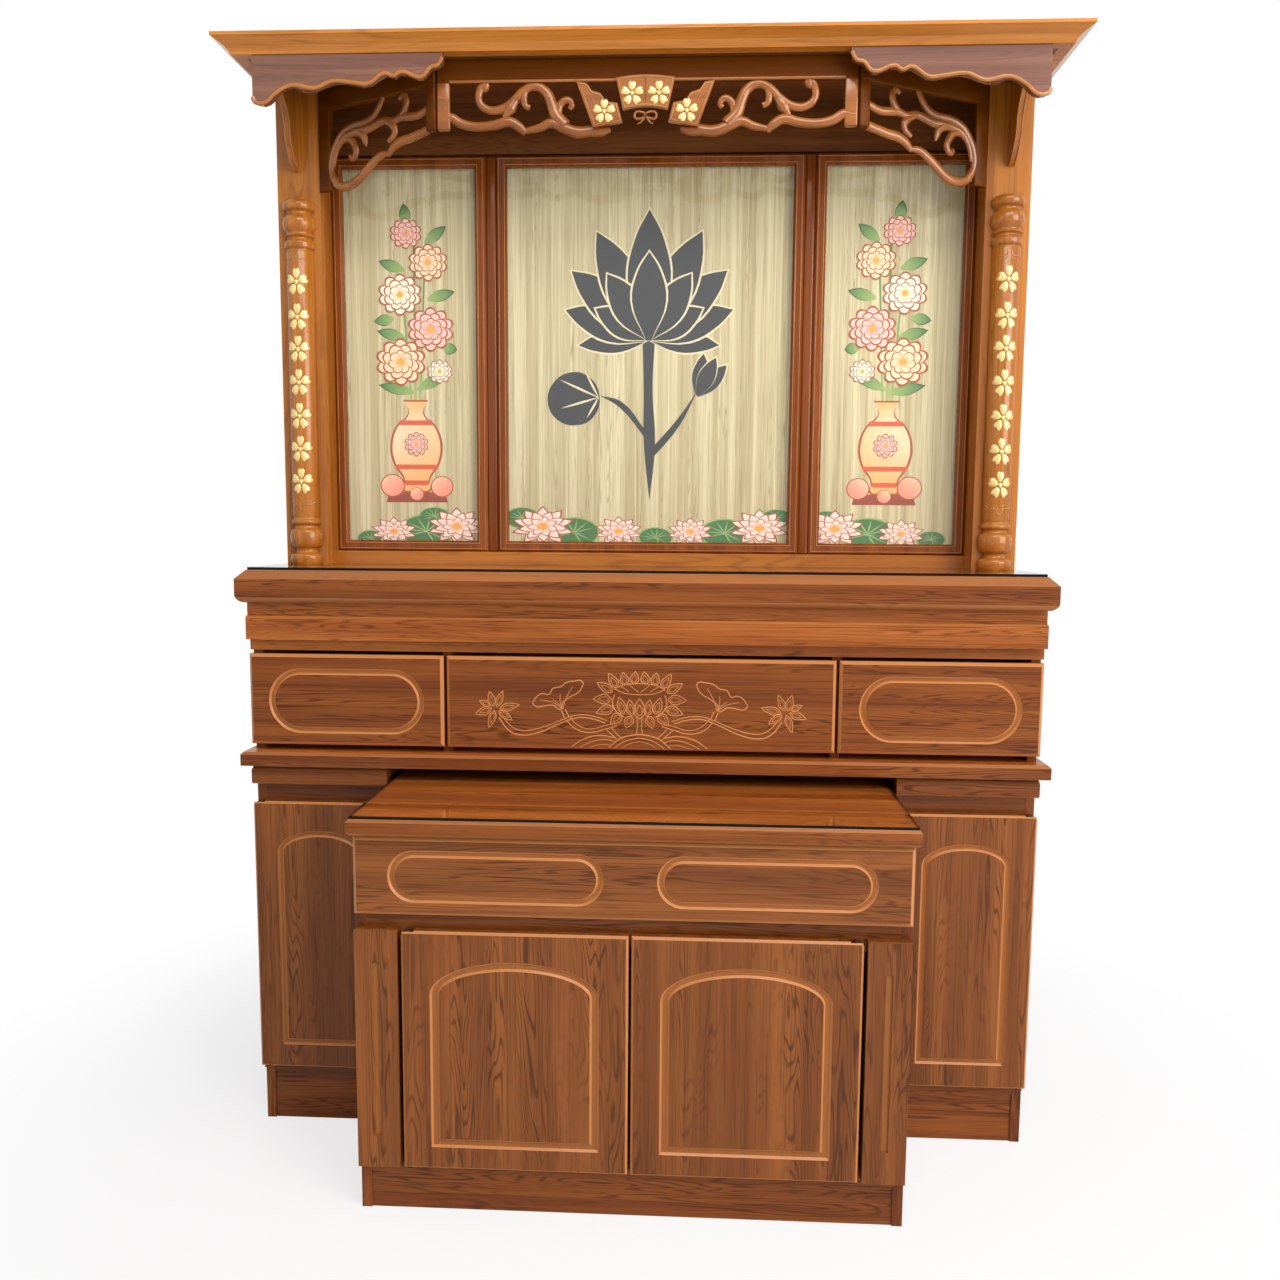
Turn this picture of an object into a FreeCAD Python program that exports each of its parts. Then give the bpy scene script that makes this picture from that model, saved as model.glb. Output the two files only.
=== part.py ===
import FreeCAD, Part
import Sketcher
import math
import os
import re
from FreeCAD import Vector

# Altar cabinet, millimetres, +Z up, front towards -Y, standing on Z = 0.
# A main table with three drawers and two door pedestals carries a shallow shrine.
# A lower table stands in the bay between the pedestals and slides in under the top.

doc = FreeCAD.newDocument("altar_cabinet")
sheet = doc.addObject("Spreadsheet::Sheet", "sizes")
pieces = []

SIZES = {
    # boards and running gaps
    "board": 18, "thin_back": 9, "front_gap": 6, "drawer_gap": 6, "slip": 0.3,
    # main table
    "table_depth": 455, "top_half": 776, "body_in": 15, "fascia_proud": 3,
    "slab_high": 1126, "slab_tall": 63, "slab_bevel": 17, "slab_round": 16,
    "glass_thick": 5, "glass_inset": 19,
    "front_plane": 22, "front_thick": 20, "fascia_out": 20, "fascia_bevel": 4,
    "band_tall": 26, "fascia_tall": 46, "grip_tall": 22, "band_in": 30, "grip_in": 40,
    "drawer_tall": 178, "centre_drawer_half": 373.5,
    "front_bevel": 6, "door_bevel": 4, "groove_width": 13, "groove_deep": 4,
    "waist_gap": 13, "waist_tall": 27, "waist_out": 4, "waist_bevel": 5,
    "bay_half": 493, "block_step": 9, "block_tall": 31, "block_bevel": 4, "block_gap": 35, "block_proud": 1,
    "door_low": 123, "rail_lap": 30, "rail_step": 30,
    "floor_high": 118, "plinth_in": 3,
    # drawer boxes and their runners
    "runner_gap": 13, "runner_tall": 30, "runner_start": 4, "box_wall": 12, "box_floor": 8,
    "box_clear": 24, "box_up": 20, "box_tall": 125, "runner_up": 65,
    # door pivots
    "pivot_in": 9, "pin_radius": 3, "plate_thick": 3, "plate_half": 4, "plate_up": 2, "plate_down": 3,
    "notch_deep": 7, "notch_long": 22, "notch_lip": 2.5, "pin_long": 12, "pin_play": 2,
    "free_gap": 2,
    # door and drawer ornament
    "door_groove_side": 46, "door_groove_in": 52, "door_groove_up": 47, "door_spring_down": 101, "door_crest_down": 57,
    "oval_side": 38, "oval_up": 23, "oval_down": 27,
    # lower table
    "pull_out": 265, "lower_depth": 400, "bay_gap": 9, "lower_in": 6,
    "lower_slab_high": 718, "lower_slab_tall": 29, "lower_bevel": 5,
    "lower_setback": 10, "lower_front_thick": 18, "lower_front_in": 2,
    "lower_drawer_down": 3, "lower_drawer_tall": 137,
    "lower_shelf_down": 5, "shelf_thick": 20, "lower_rail_tall": 28, "lower_recess": 28,
    "lower_door_low": 91, "pilaster_wide": 74, "door_side_gap": 7, "door_mid_gap": 5,
    "lower_floor_high": 88, "lower_back_low": 60,
    "lower_box_up": 13, "lower_box_tall": 110, "lower_box_clear": 33, "lower_runner_up": 51,
    "lower_oval_side": 60, "lower_oval_mid": 45, "lower_oval_up": 23, "lower_oval_tall": 92,
    "arch_out": 49.5, "arch_in": 50, "arch_up": 40, "arch_spring_down": 113, "arch_crest_down": 51,
    "arch_width": 16, "flute_width": 12, "flute_deep": 4, "flute_up": 58, "flute_down": 56,
    # shrine
    "post_front": 230, "post_wide": 87.5, "post_thick": 25,
    "soffit": 2083, "roof_thick": 18, "frame_plane": 297, "frame_thick": 22,
    "frame_up": 26, "frame_down": 106, "frame_edge": 23, "frame_bevel": 4, "sight_bevel": 3,
    "centre_frame_half": 321, "frame_gap": 21, "rebate": 8, "rebate_deep": 10, "pane": 3, "picture_board": 4,
    "niche_back_thick": 12, "head_board_thick": 16, "head_gap": 4, "rail_front": 290,
    "cornice_high": 30, "cornice_inner": 78, "cornice_in": 6, "cornice_low_out": 23, "cornice_top_out": 50,
    "apron_thick": 20, "apron_in": 22, "apron_lap": 19, "apron_tall": 86,
    "frieze_front": 90, "frieze_thick": 12, "frieze_half": 394, "frieze_stile": 24, "frieze_foot": 126,
    "frieze_rail_tall": 43, "side_frieze_tall": 198, "side_stile": 22, "side_end_stile": 30, "post_gap": 4,
    "fan_thick": 8, "column_radius": 30, "column_down": 216,
    "bracket_in": 41, "bracket_thick": 10, "bracket_tall": 157, "bracket_reach": 135,
}

# Sizes that follow from others; the origin lies on the floor under the middle of the whole,
# and depths are measured from the slab's front edge
TIED = {
    "origin_back": "(table_depth - pull_out) / 2",
    "body_half": "top_half - body_in",
    "fascia_half": "body_half + fascia_proud",
    "slab_low": "slab_high - slab_tall",
    "fascia_high": "slab_low - band_tall",
    "fascia_low": "fascia_high - fascia_tall",
    "grip_low": "fascia_low - grip_tall",
    "drawer_high": "grip_low - drawer_gap",
    "drawer_low": "drawer_high - drawer_tall",
    "box_deep": "table_depth - thin_back - front_plane - front_thick - box_clear",
    "box_low": "drawer_low + box_up",
    "box_high": "box_low + box_tall",
    "runner_low": "drawer_low + runner_up",
    "oval_low": "drawer_low + oval_up",
    "oval_high": "drawer_high - oval_down",
    "waist_high": "drawer_low - waist_gap",
    "waist_low": "waist_high - waist_tall",
    "block_high": "waist_low - block_step",
    "block_low": "block_high - block_tall",
    "door_high": "block_low - block_gap",
    "rail_low": "door_high - rail_lap",
    "door_groove_low": "door_low + door_groove_up",
    "door_spring": "door_high - door_spring_down",
    "door_crest": "door_high - door_crest_down",
    "lower_top_half": "bay_half - bay_gap",
    "lower_half": "lower_top_half - lower_in",
    "lower_front_half": "lower_half - lower_front_in",
    "pilaster_in": "lower_front_half - pilaster_wide",
    "lower_slab_low": "lower_slab_high - lower_slab_tall",
    "lower_drawer_high": "lower_slab_low - lower_drawer_down",
    "lower_drawer_low": "lower_drawer_high - lower_drawer_tall",
    "lower_shelf_high": "lower_drawer_low - lower_shelf_down",
    "lower_shelf_low": "lower_shelf_high - shelf_thick",
    "lower_rail_low": "lower_shelf_low - lower_rail_tall",
    "lower_door_high": "lower_drawer_low - lower_recess",
    "lower_box_deep": "lower_depth - thin_back - lower_setback - lower_front_thick - lower_box_clear",
    "lower_box_low": "lower_drawer_low + lower_box_up",
    "lower_box_high": "lower_box_low + lower_box_tall",
    "lower_runner_low": "lower_drawer_low + lower_runner_up",
    "lower_oval_low": "lower_drawer_low + lower_oval_up",
    "lower_oval_high": "lower_oval_low + lower_oval_tall",
    "arch_low": "lower_door_low + arch_up",
    "arch_spring": "lower_door_high - arch_spring_down",
    "arch_crest": "lower_door_high - arch_crest_down",
    "flute_low": "lower_door_low + flute_up",
    "flute_high": "lower_door_high - flute_down",
    "stand": "slab_high + glass_thick",
    "post_half": "top_half - glass_inset",
    "frame_low": "stand + frame_up",
    "frame_high": "soffit - frame_down",
    "apron_half": "post_half - apron_in",
    "apron_inner": "frieze_half - apron_lap",
    "frieze_rail_low": "soffit - frieze_rail_tall",
    "bracket_half": "post_half - bracket_in",
    "bracket_low": "soffit - bracket_tall",
    "column_high": "soffit - column_down",
}

for alias, formula in TIED.items():
    SIZES[alias] = "=" + formula
for row, (alias, value) in enumerate(SIZES.items(), start=1):
    sheet.set(f"A{row}", alias)
    sheet.set(f"B{row}", str(value))
    sheet.setAlias(f"B{row}", alias)
doc.recompute()


def size(alias):
    """The value of one driving dimension, read from the sheet."""
    return float(sheet.get(alias))


def bound(text):
    """An expression on the sheet from a formula written with the plain names."""
    return re.sub(r"[a-z][a-z_]+", lambda word: "sizes." + word.group(0), str(text))


def keep(piece, label):
    piece.Label = label
    pieces.append(piece)
    return piece


def block(name, x, y, z):
    """A board between two formulas on each axis."""
    box = doc.addObject("Part::Box", name)
    for side, axis, (low, high) in zip(("Length", "Width", "Height"), "xyz", (x, y, z)):
        start = f"{low} - origin_back" if axis == "y" else low
        box.setExpression(side, f"({bound(high)}) - ({bound(low)})")
        box.setExpression(f"Placement.Base.{axis}", bound(start))
    return box


def board(label, x, y, z):
    return keep(block(label, x, y, z), label)


def mirrored(name, source):
    other = doc.addObject("Part::Mirroring", name)
    other.Source = source
    other.Base = Vector(0, 0, 0)
    other.Normal = Vector(1, 0, 0)
    return other


def pair(label, source):
    """The piece on the +X side and its mirror image, in one node."""
    both = doc.addObject("Part::Compound", label)
    both.Links = [source, mirrored(label + "_mirror", source)]
    return keep(both, label)


def group(label, solids):
    several = doc.addObject("Part::Compound", label)
    several.Links = solids
    return keep(several, label)


def shaped(name, shape, base=Vector(0, 0, 0), turn=0.0):
    """An object whose shape is worked out here from the sheet's sizes, turned about Z, then moved."""
    piece = doc.addObject("Part::Feature", name)
    piece.Shape = shape
    corner = base - Vector(0, size("origin_back"), 0)
    piece.Placement = FreeCAD.Placement(corner, FreeCAD.Rotation(Vector(0, 0, 1), turn))
    return piece


def cut(name, base, tool):
    result = doc.addObject("Part::Cut", name)
    result.Base = base
    result.Tool = tool
    return result


def fuse(name, parts):
    result = doc.addObject("Part::MultiFuse", name)
    result.Shapes = parts
    return result


def chosen_edges(shape, test):
    """Numbers of the edges whose middle, with its depth from the slab's front edge, passes a test."""
    numbers = []
    for number, edge in enumerate(shape.Edges, start=1):
        middle = edge.valueAt((edge.FirstParameter + edge.LastParameter) / 2)
        if test(middle + Vector(0, size("origin_back"), 0), edge):
            numbers.append(number)
    return numbers


def eased(kind, name, base, amount, test):
    """A Part::Chamfer or Part::Fillet on the chosen edges of a piece."""
    doc.recompute()
    result = doc.addObject("Part::" + kind, name)
    result.Base = base
    result.Edges = [(number, amount, amount) for number in chosen_edges(base.Shape, test)]
    return result


def same(first, second):
    return abs(first - second) < 0.01


def profile_body(name, points, length, start):
    """A PartDesign body: a sketched profile of (depth, height) formulas, padded along X."""
    body = doc.addObject("PartDesign::Body", name)
    origin = next(item for item in body.Origin.OriginFeatures if item.Role == "YZ_Plane")
    sketch = body.newObject("Sketcher::SketchObject", name + "_profile")
    sketch.AttachmentSupport = [(origin, "")]
    sketch.MapMode = "FlatFace"
    count = len(points)
    reach = size("slab_high")
    for index in range(count):
        turn = 2 * math.pi * index / count
        after = 2 * math.pi * (index + 1) / count
        sketch.addGeometry(
            Part.LineSegment(
                Vector(reach * math.cos(turn), reach * math.sin(turn), 0),
                Vector(reach * math.cos(after), reach * math.sin(after), 0),
            )
        )
    for index, (across, along) in enumerate(points):
        before = index - 1 if index else count - 1
        sketch.addConstraint(Sketcher.Constraint("Coincident", before, 2, index, 1))
        for kind, formula in (("DistanceX", across), ("DistanceY", along)):
            number = sketch.addConstraint(Sketcher.Constraint(kind, -1, 1, index, 1, 1.0))
            sketch.setExpression(f"Constraints[{number}]", bound(formula))
    pad = body.newObject("PartDesign::Pad", name + "_pad")
    pad.Profile = sketch
    pad.setExpression("Length", bound(length))
    body.Tip = pad
    body.setExpression("Placement.Base.x", bound(start))
    body.setExpression("Placement.Base.y", bound("-origin_back"))
    return body


def arch_wire(x_low, x_high, z_low, z_spring, z_crest):
    """An upright outline with square foot corners and a half-ellipse head, in the XZ plane."""
    middle = (x_low + x_high) / 2
    half = (x_high - x_low) / 2
    rise = z_crest - z_spring
    lean = 90 if rise > half else 0
    start = math.radians(-lean)
    ellipse = Part.Ellipse(Vector(0, 0, 0), max(half, rise), min(half, rise))
    head = Part.ArcOfEllipse(ellipse, start, start + math.pi).toShape()
    frame = FreeCAD.Rotation(Vector(1, 0, 0), 90).multiply(FreeCAD.Rotation(Vector(0, 0, 1), lean))
    head.Placement = FreeCAD.Placement(Vector(middle, 0, z_spring), frame)
    foot = Part.makePolygon([
        Vector(x_high, 0, z_spring), Vector(x_high, 0, z_low),
        Vector(x_low, 0, z_low), Vector(x_low, 0, z_spring),
    ])
    return Part.Wire(Part.__sortEdges__(head.Edges + foot.Edges))


def stadium_wire(x_low, x_high, z_low, z_high):
    """A level outline with round ends, in the XZ plane."""
    radius = (z_high - z_low) / 2
    middle = (z_high + z_low) / 2
    left = Part.Arc(
        Vector(x_low + radius, 0, z_high), Vector(x_low, 0, middle), Vector(x_low + radius, 0, z_low)
    ).toShape()
    right = Part.Arc(
        Vector(x_high - radius, 0, z_low), Vector(x_high, 0, middle), Vector(x_high - radius, 0, z_high)
    ).toShape()
    low = Part.makeLine(Vector(x_low + radius, 0, z_low), Vector(x_high - radius, 0, z_low))
    high = Part.makeLine(Vector(x_high - radius, 0, z_high), Vector(x_low + radius, 0, z_high))
    return Part.Wire(Part.__sortEdges__([left, low, right, high]))


def groove(outer, inner, front):
    """The ring between two outlines, sunk with sloping walls into a front face at Y = front."""
    deep = size("groove_deep")
    ring = Part.Face(outer).cut(Part.Face(inner)).extrude(Vector(0, deep, 0))
    floor_edges = [edge for edge in ring.Edges if same(edge.BoundBox.YMin, deep)]
    ring = ring.makeChamfer(deep - 0.5, floor_edges)
    ring.translate(Vector(0, front, 0))
    return ring


def curve_through(points):
    curve = Part.BSplineCurve()
    curve.interpolate([Vector(x, 0, z) for x, z in points])
    return curve


def ribbon(points, widths, thick):
    """A carved stem: a strip of changing width along a curve in the XZ plane, given its thickness.

    Its sides are cut in short straight runs, as a saw and a knife leave them.
    """
    curve = curve_through(points)
    first, last = curve.FirstParameter, curve.LastParameter
    steps = len(points) + 2
    left, right = [], []
    for step in range(steps + 1):
        share = step / steps
        place = first + (last - first) * share
        slot = share * (len(widths) - 1)
        index = min(int(slot), len(widths) - 2)
        half = (widths[index] + (widths[index + 1] - widths[index]) * (slot - index)) / 2
        along = curve.tangent(place)[0]
        side = Vector(-along.z, 0, along.x)
        left.append(curve.value(place) + side * half)
        right.append(curve.value(place) - side * half)
    outline = left + right[::-1]
    return Part.Face(Part.makePolygon(outline + outline[:1])).extrude(Vector(0, thick, 0))


def knife_line(points):
    """Short straight runs along a curve, two to each stretch between its points."""
    curve = curve_through(points)
    return curve.discretize(Number=2 * len(points) - 1)


def flat_face(edges):
    face = Part.Face(Part.Wire(Part.__sortEdges__(edges)))
    face.validate()
    return face


carcass_front = "front_plane + front_thick + front_gap"
back_line = "table_depth - thin_back"

# The main table's top: a thick moulded slab under a sheet of clear glass
slab = block("top_slab_blank", ("-top_half", "top_half"), ("0", "table_depth"), ("slab_low", "slab_high"))


def free_rim(level):
    half, back = size("top_half"), size("table_depth")
    return lambda mid, edge: same(mid.z, level) and (
        same(mid.y, 0) or (same(abs(mid.x), half) and mid.y < back - 1)
    )


slab = eased("Chamfer", "top_slab_bevelled", slab, size("slab_bevel"), free_rim(size("slab_high")))
slab = eased("Fillet", "top_slab", slab, size("slab_round"), free_rim(size("slab_low")))
keep(slab, "top_slab")
board(
    "top_glass",
    ("glass_inset - top_half", "top_half - glass_inset"),
    ("glass_inset", "table_depth"),
    ("slab_high", "slab_high + glass_thick"),
)

# The fascia under the slab: recessed band, bevelled fascia, finger recess over the drawers
keep(
    profile_body(
        "front_fascia",
        [
            (carcass_front, "slab_low"), ("band_in", "slab_low"), ("band_in", "fascia_high"),
            ("fascia_out + fascia_bevel", "fascia_high"), ("fascia_out", "fascia_high - fascia_bevel"),
            ("fascia_out", "fascia_low"), ("grip_in", "fascia_low"), ("grip_in", "grip_low"),
            (carcass_front, "grip_low"),
        ],
        "2 * fascia_half",
        "-fascia_half",
    ),
    "front_fascia",
)

# Upper case: sides, dividers and the runners that carry the drawers
carcass_run = (carcass_front, back_line)
outer_board = ("body_half - board", "body_half")
pair("upper_sides", block("upper_side", outer_board, carcass_run, ("waist_high", "slab_low")))
divider_middle = "centre_drawer_half + drawer_gap / 2"
pair(
    "drawer_dividers",
    block(
        "drawer_divider",
        (f"{divider_middle} - board / 2", f"{divider_middle} + board / 2"),
        carcass_run,
        ("waist_high", "slab_low"),
    ),
)
board("back_panel", ("-body_half", "body_half"), (back_line, "table_depth"), ("0", "slab_low"))

waist = block("waist_blank", ("-top_half", "top_half"), ("waist_out", back_line), ("waist_low", "waist_high"))


def waist_rim(mid, edge):
    return same(mid.z, size("waist_high")) and mid.y < size("table_depth") - size("thin_back") - 1


keep(eased("Chamfer", "waist_board", waist, size("waist_bevel"), waist_rim), "waist_board")


def runner(name, low, high, y, level):
    return block(name, (low, high), y, (level, f"{level} + runner_tall"))


runner_run = (f"{carcass_front} + runner_start", "front_plane + front_thick + box_deep")
main_runners = []
for name, low, high in (
    ("runner_outer", "body_half - board - runner_gap + slip", "body_half - board"),
    ("runner_inner", f"{divider_middle} + board / 2", f"{divider_middle} + board / 2 + runner_gap - slip"),
    ("runner_centre", f"{divider_middle} - board / 2 - runner_gap + slip", f"{divider_middle} - board / 2"),
):
    rail = runner(name, low, high, runner_run, "runner_low")
    main_runners += [rail, mirrored(name + "_mirror", rail)]
group("drawer_runners", main_runners)

# Pedestals: sides to the floor, floors, plinths, moulded blocks and the rails behind the door tops
pair("pedestal_outer_sides", block("pedestal_outer_side", outer_board, carcass_run, ("0", "waist_low")))
inner_board = ("bay_half", "bay_half + board")
pair("pedestal_inner_sides", block("pedestal_inner_side", inner_board, carcass_run, ("0", "waist_low")))
pedestal_inside = ("bay_half + board", "body_half - board")
floor_rise = ("floor_high - board", "floor_high")
pair("pedestal_floors", block("pedestal_floor", pedestal_inside, carcass_run, floor_rise))
pair(
    "pedestal_plinths",
    block(
        "pedestal_plinth",
        pedestal_inside,
        (f"{carcass_front} + plinth_in", f"{carcass_front} + plinth_in + board"),
        ("0", "floor_high - board"),
    ),
)
rail_run = (carcass_front, f"{carcass_front} + board")
pair("pedestal_rails", block("pedestal_rail", pedestal_inside, rail_run, ("rail_low", "waist_low")))
pair(
    "pedestal_blocks",
    profile_body(
        "pedestal_block",
        [
            (carcass_front, "waist_low"), ("rail_step", "waist_low"), ("rail_step", "block_high"),
            ("front_plane + block_bevel", "block_high"), ("front_plane", "block_high - block_bevel"),
            ("front_plane", "block_low + block_bevel"), ("front_plane + block_bevel", "block_low"),
            (carcass_front, "block_low"),
        ],
        "body_half + block_proud - bay_half",
        "bay_half",
    ),
)


# Doors: bevelled overlay leaves on pins, with an arched groove routed in the front
def pin_plate(name, x, y, back, z_low, pin_end):
    """A pivot plate fixed to the case behind, with its pin standing up or hanging down."""
    half, radius, thick = size("plate_half"), size("pin_radius"), size("plate_thick")
    plate = Part.makeBox(2 * half, back - y + half, thick, Vector(x - half, y - half, z_low))
    foot, head = sorted((pin_end, z_low + thick / 2))
    pin = Part.makeCylinder(radius, head - foot, Vector(x, y, foot))
    return shaped(name, plate.fuse([pin]).removeSplitter())


def door_leaf(name, x_free, x_hinge, y_front, thick, z_low, z_high, outline, ring_width):
    """A door hinged at its x_hinge edge: pin holes, a notch for the top plate, one arched groove."""
    inward = 1 if x_free > x_hinge else -1
    pivot = size("pivot_in")
    axis_x = x_hinge + inward * pivot
    axis_y = y_front + thick / 2
    low, high = min(x_free, x_hinge), max(x_free, x_hinge)
    leaf = Part.makeBox(high - low, thick, z_high - z_low, Vector(low, y_front, z_low))
    back_edge = [
        edge for edge in leaf.Edges
        if same(edge.CenterOfMass.x, x_hinge) and same(edge.CenterOfMass.y, y_front + thick)
    ]
    leaf = leaf.makeFillet(thick / 2 - 0.5, back_edge)
    rim = [edge for edge in leaf.Edges if same(edge.CenterOfMass.y, y_front)]
    leaf = leaf.makeChamfer(size("door_bevel"), rim)
    long, lip, notch_deep = size("notch_long"), size("notch_lip"), size("notch_deep")
    notch_x = min(x_hinge, x_hinge + inward * long)
    notch_corner = Vector(notch_x - 0.5, y_front + lip, z_high - notch_deep)
    notch = Part.makeBox(long + 1, thick, notch_deep + 1, notch_corner)
    hole, deep = size("pin_radius") + size("slip"), size("pin_long") + size("pin_play")
    top_hole = Part.makeCylinder(hole, deep + 1, Vector(axis_x, axis_y, z_high - notch_deep - deep))
    low_hole = Part.makeCylinder(hole, deep, Vector(axis_x, axis_y, z_low))
    leaf = leaf.cut([notch, top_hole, low_hole])
    outer = arch_wire(*outline)
    x_a, x_b, z_a, z_b, z_c = outline
    inner = arch_wire(x_a + ring_width, x_b - ring_width, z_a + ring_width, z_b, z_c - ring_width)
    return shaped(name, leaf.cut(groove(outer, inner, y_front)).removeSplitter())


def plate_levels(z_low, z_high):
    """Heights of the plate in a door's notch and of the one under the door."""
    top = z_high - size("notch_deep") + size("plate_up")
    return top, z_low - size("plate_thick") - size("plate_down")


case_front = size("front_plane") + size("front_thick") + size("front_gap")
pin_long = size("pin_long")
pivot_plates = []
for side, sign in (("left", -1), ("right", 1)):
    hinge_x = sign * size("body_half")
    free_x = sign * (size("bay_half") + size("free_gap"))
    inner_x = sign * (size("bay_half") + size("door_groove_in"))
    outer_x = sign * (size("body_half") - size("door_groove_side"))
    outline = (
        min(inner_x, outer_x), max(inner_x, outer_x),
        size("door_groove_low"), size("door_spring"), size("door_crest"),
    )
    keep(
        door_leaf(
            f"pedestal_door_{side}", free_x, hinge_x, size("front_plane"), size("front_thick"),
            size("door_low"), size("door_high"), outline, size("groove_width"),
        ),
        f"pedestal_door_{side}",
    )
    axis_x = hinge_x - sign * size("pivot_in")
    axis_y = size("front_plane") + size("front_thick") / 2
    top_plate, low_plate = plate_levels(size("door_low"), size("door_high"))
    pivot_plates += [
        pin_plate(f"{side}_top_pivot", axis_x, axis_y, case_front, top_plate, top_plate - pin_long),
        pin_plate(f"{side}_low_pivot", axis_x, axis_y, case_front, low_plate, size("door_low") + pin_long),
    ]
group("pedestal_pivots", pivot_plates)


# Drawers: a bevelled front with its groove, and a box behind it
def drawer_box(label, x, y, z):
    outside = block(label + "_outside", x, y, z)
    inside = block(
        label + "_inside",
        (f"{x[0]} + box_wall", f"{x[1]} - box_wall"),
        (f"{y[0]} + box_wall", f"{y[1]} - box_wall"),
        (f"{z[0]} + box_floor", f"{z[1]} + 1"),
    )
    return keep(cut(label, outside, inside), label)


def drawer_front(label, x_low, x_high, y_front, thick, z_low, z_high, ovals):
    panel = Part.makeBox(x_high - x_low, thick, z_high - z_low, Vector(x_low, y_front, z_low))
    rim = [edge for edge in panel.Edges if same(edge.CenterOfMass.y, y_front)]
    panel = panel.makeChamfer(size("front_bevel"), rim)
    for low, high, foot, head in ovals:
        width = size("groove_width")
        outer = stadium_wire(low, high, foot, head)
        inner = stadium_wire(low + width, high - width, foot + width, head - width)
        panel = panel.cut(groove(outer, inner, y_front))
    return keep(shaped(label, panel.removeSplitter()), label)


side_low = size("centre_drawer_half") + size("drawer_gap")
side_high = size("body_half")
front, thick = size("front_plane"), size("front_thick")
drawer_rows = (
    ("left", -side_high, -side_low, True),
    ("centre", -size("centre_drawer_half"), size("centre_drawer_half"), False),
    ("right", side_low, side_high, True),
)
foot, head = size("drawer_low"), size("drawer_high")
for name, low, high, grooved in drawer_rows:
    inset = size("oval_side")
    ovals = [(low + inset, high - inset, size("oval_low"), size("oval_high"))] if grooved else []
    drawer_front(f"drawer_front_{name}", low, high, front, thick, foot, head, ovals)
box_run = ("front_plane + front_thick", "front_plane + front_thick + box_deep")
box_rise = ("box_low", "box_high")
outer_wall = "body_half - board - runner_gap"
inner_wall = f"{divider_middle} + board / 2 + runner_gap"
centre_wall = f"{divider_middle} - board / 2 - runner_gap"
drawer_box("drawer_box_left", (f"-({outer_wall})", f"-({inner_wall})"), box_run, box_rise)
drawer_box("drawer_box_centre", (f"-({centre_wall})", centre_wall), box_run, box_rise)
drawer_box("drawer_box_right", (inner_wall, outer_wall), box_run, box_rise)

# Lower table: its own case, pulled out in front of the bay
lower_edge = "-pull_out"
lower_front = "lower_setback - pull_out"
lower_face_back = "lower_setback - pull_out + lower_front_thick"
lower_case = "lower_setback - pull_out + lower_front_thick + front_gap"
lower_back = "lower_depth - pull_out"
lower_slab = block(
    "lower_slab_blank",
    ("-lower_top_half", "lower_top_half"),
    (lower_edge, lower_back),
    ("lower_slab_low", "lower_slab_high"),
)


def lower_rim(mid, edge):
    return mid.y < size("lower_depth") - size("pull_out") - 1 and not edge.tangentAt(edge.FirstParameter).z


keep(eased("Chamfer", "lower_slab", lower_slab, size("lower_bevel"), lower_rim), "lower_slab")
board(
    "lower_glass",
    ("lower_bevel - lower_top_half", "lower_top_half - lower_bevel"),
    ("lower_bevel - pull_out", lower_back),
    ("lower_slab_high", "lower_slab_high + glass_thick"),
)
lower_run = (lower_case, f"{lower_back} - thin_back")
pair("lower_sides", block("lower_side", ("lower_half - board", "lower_half"), lower_run, ("0", "lower_slab_low")))
board(
    "lower_back",
    ("-lower_half", "lower_half"),
    (f"{lower_back} - thin_back", lower_back),
    ("lower_back_low", "lower_slab_low"),
)
lower_inside = ("board - lower_half", "lower_half - board")
shelf = block("lower_shelf_board", lower_inside, lower_run, ("lower_shelf_low", "lower_shelf_high"))
rail_run = (lower_case, f"{lower_case} + board")
rail = block("lower_shelf_rail", lower_inside, rail_run, ("lower_rail_low", "lower_shelf_low"))
keep(fuse("lower_shelf", [shelf, rail]), "lower_shelf")
board("lower_floor", lower_inside, lower_run, ("lower_floor_high - board", "lower_floor_high"))
board(
    "lower_plinth",
    lower_inside,
    (f"{lower_case} + plinth_in", f"{lower_case} + plinth_in + board"),
    ("0", "lower_floor_high - board"),
)
pilaster = block(
    "pilaster_board",
    ("pilaster_in", "lower_front_half"),
    (lower_front, lower_case),
    ("lower_door_low", "lower_door_high"),
)
flute_middle = "(pilaster_in + lower_front_half) / 2"
flute = block(
    "pilaster_flute",
    (f"{flute_middle} - flute_width / 2", f"{flute_middle} + flute_width / 2"),
    (f"{lower_front} - 1", f"{lower_front} + flute_deep"),
    ("flute_low", "flute_high"),
)
pair("lower_pilasters", cut("lower_pilaster", pilaster, flute))

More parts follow.
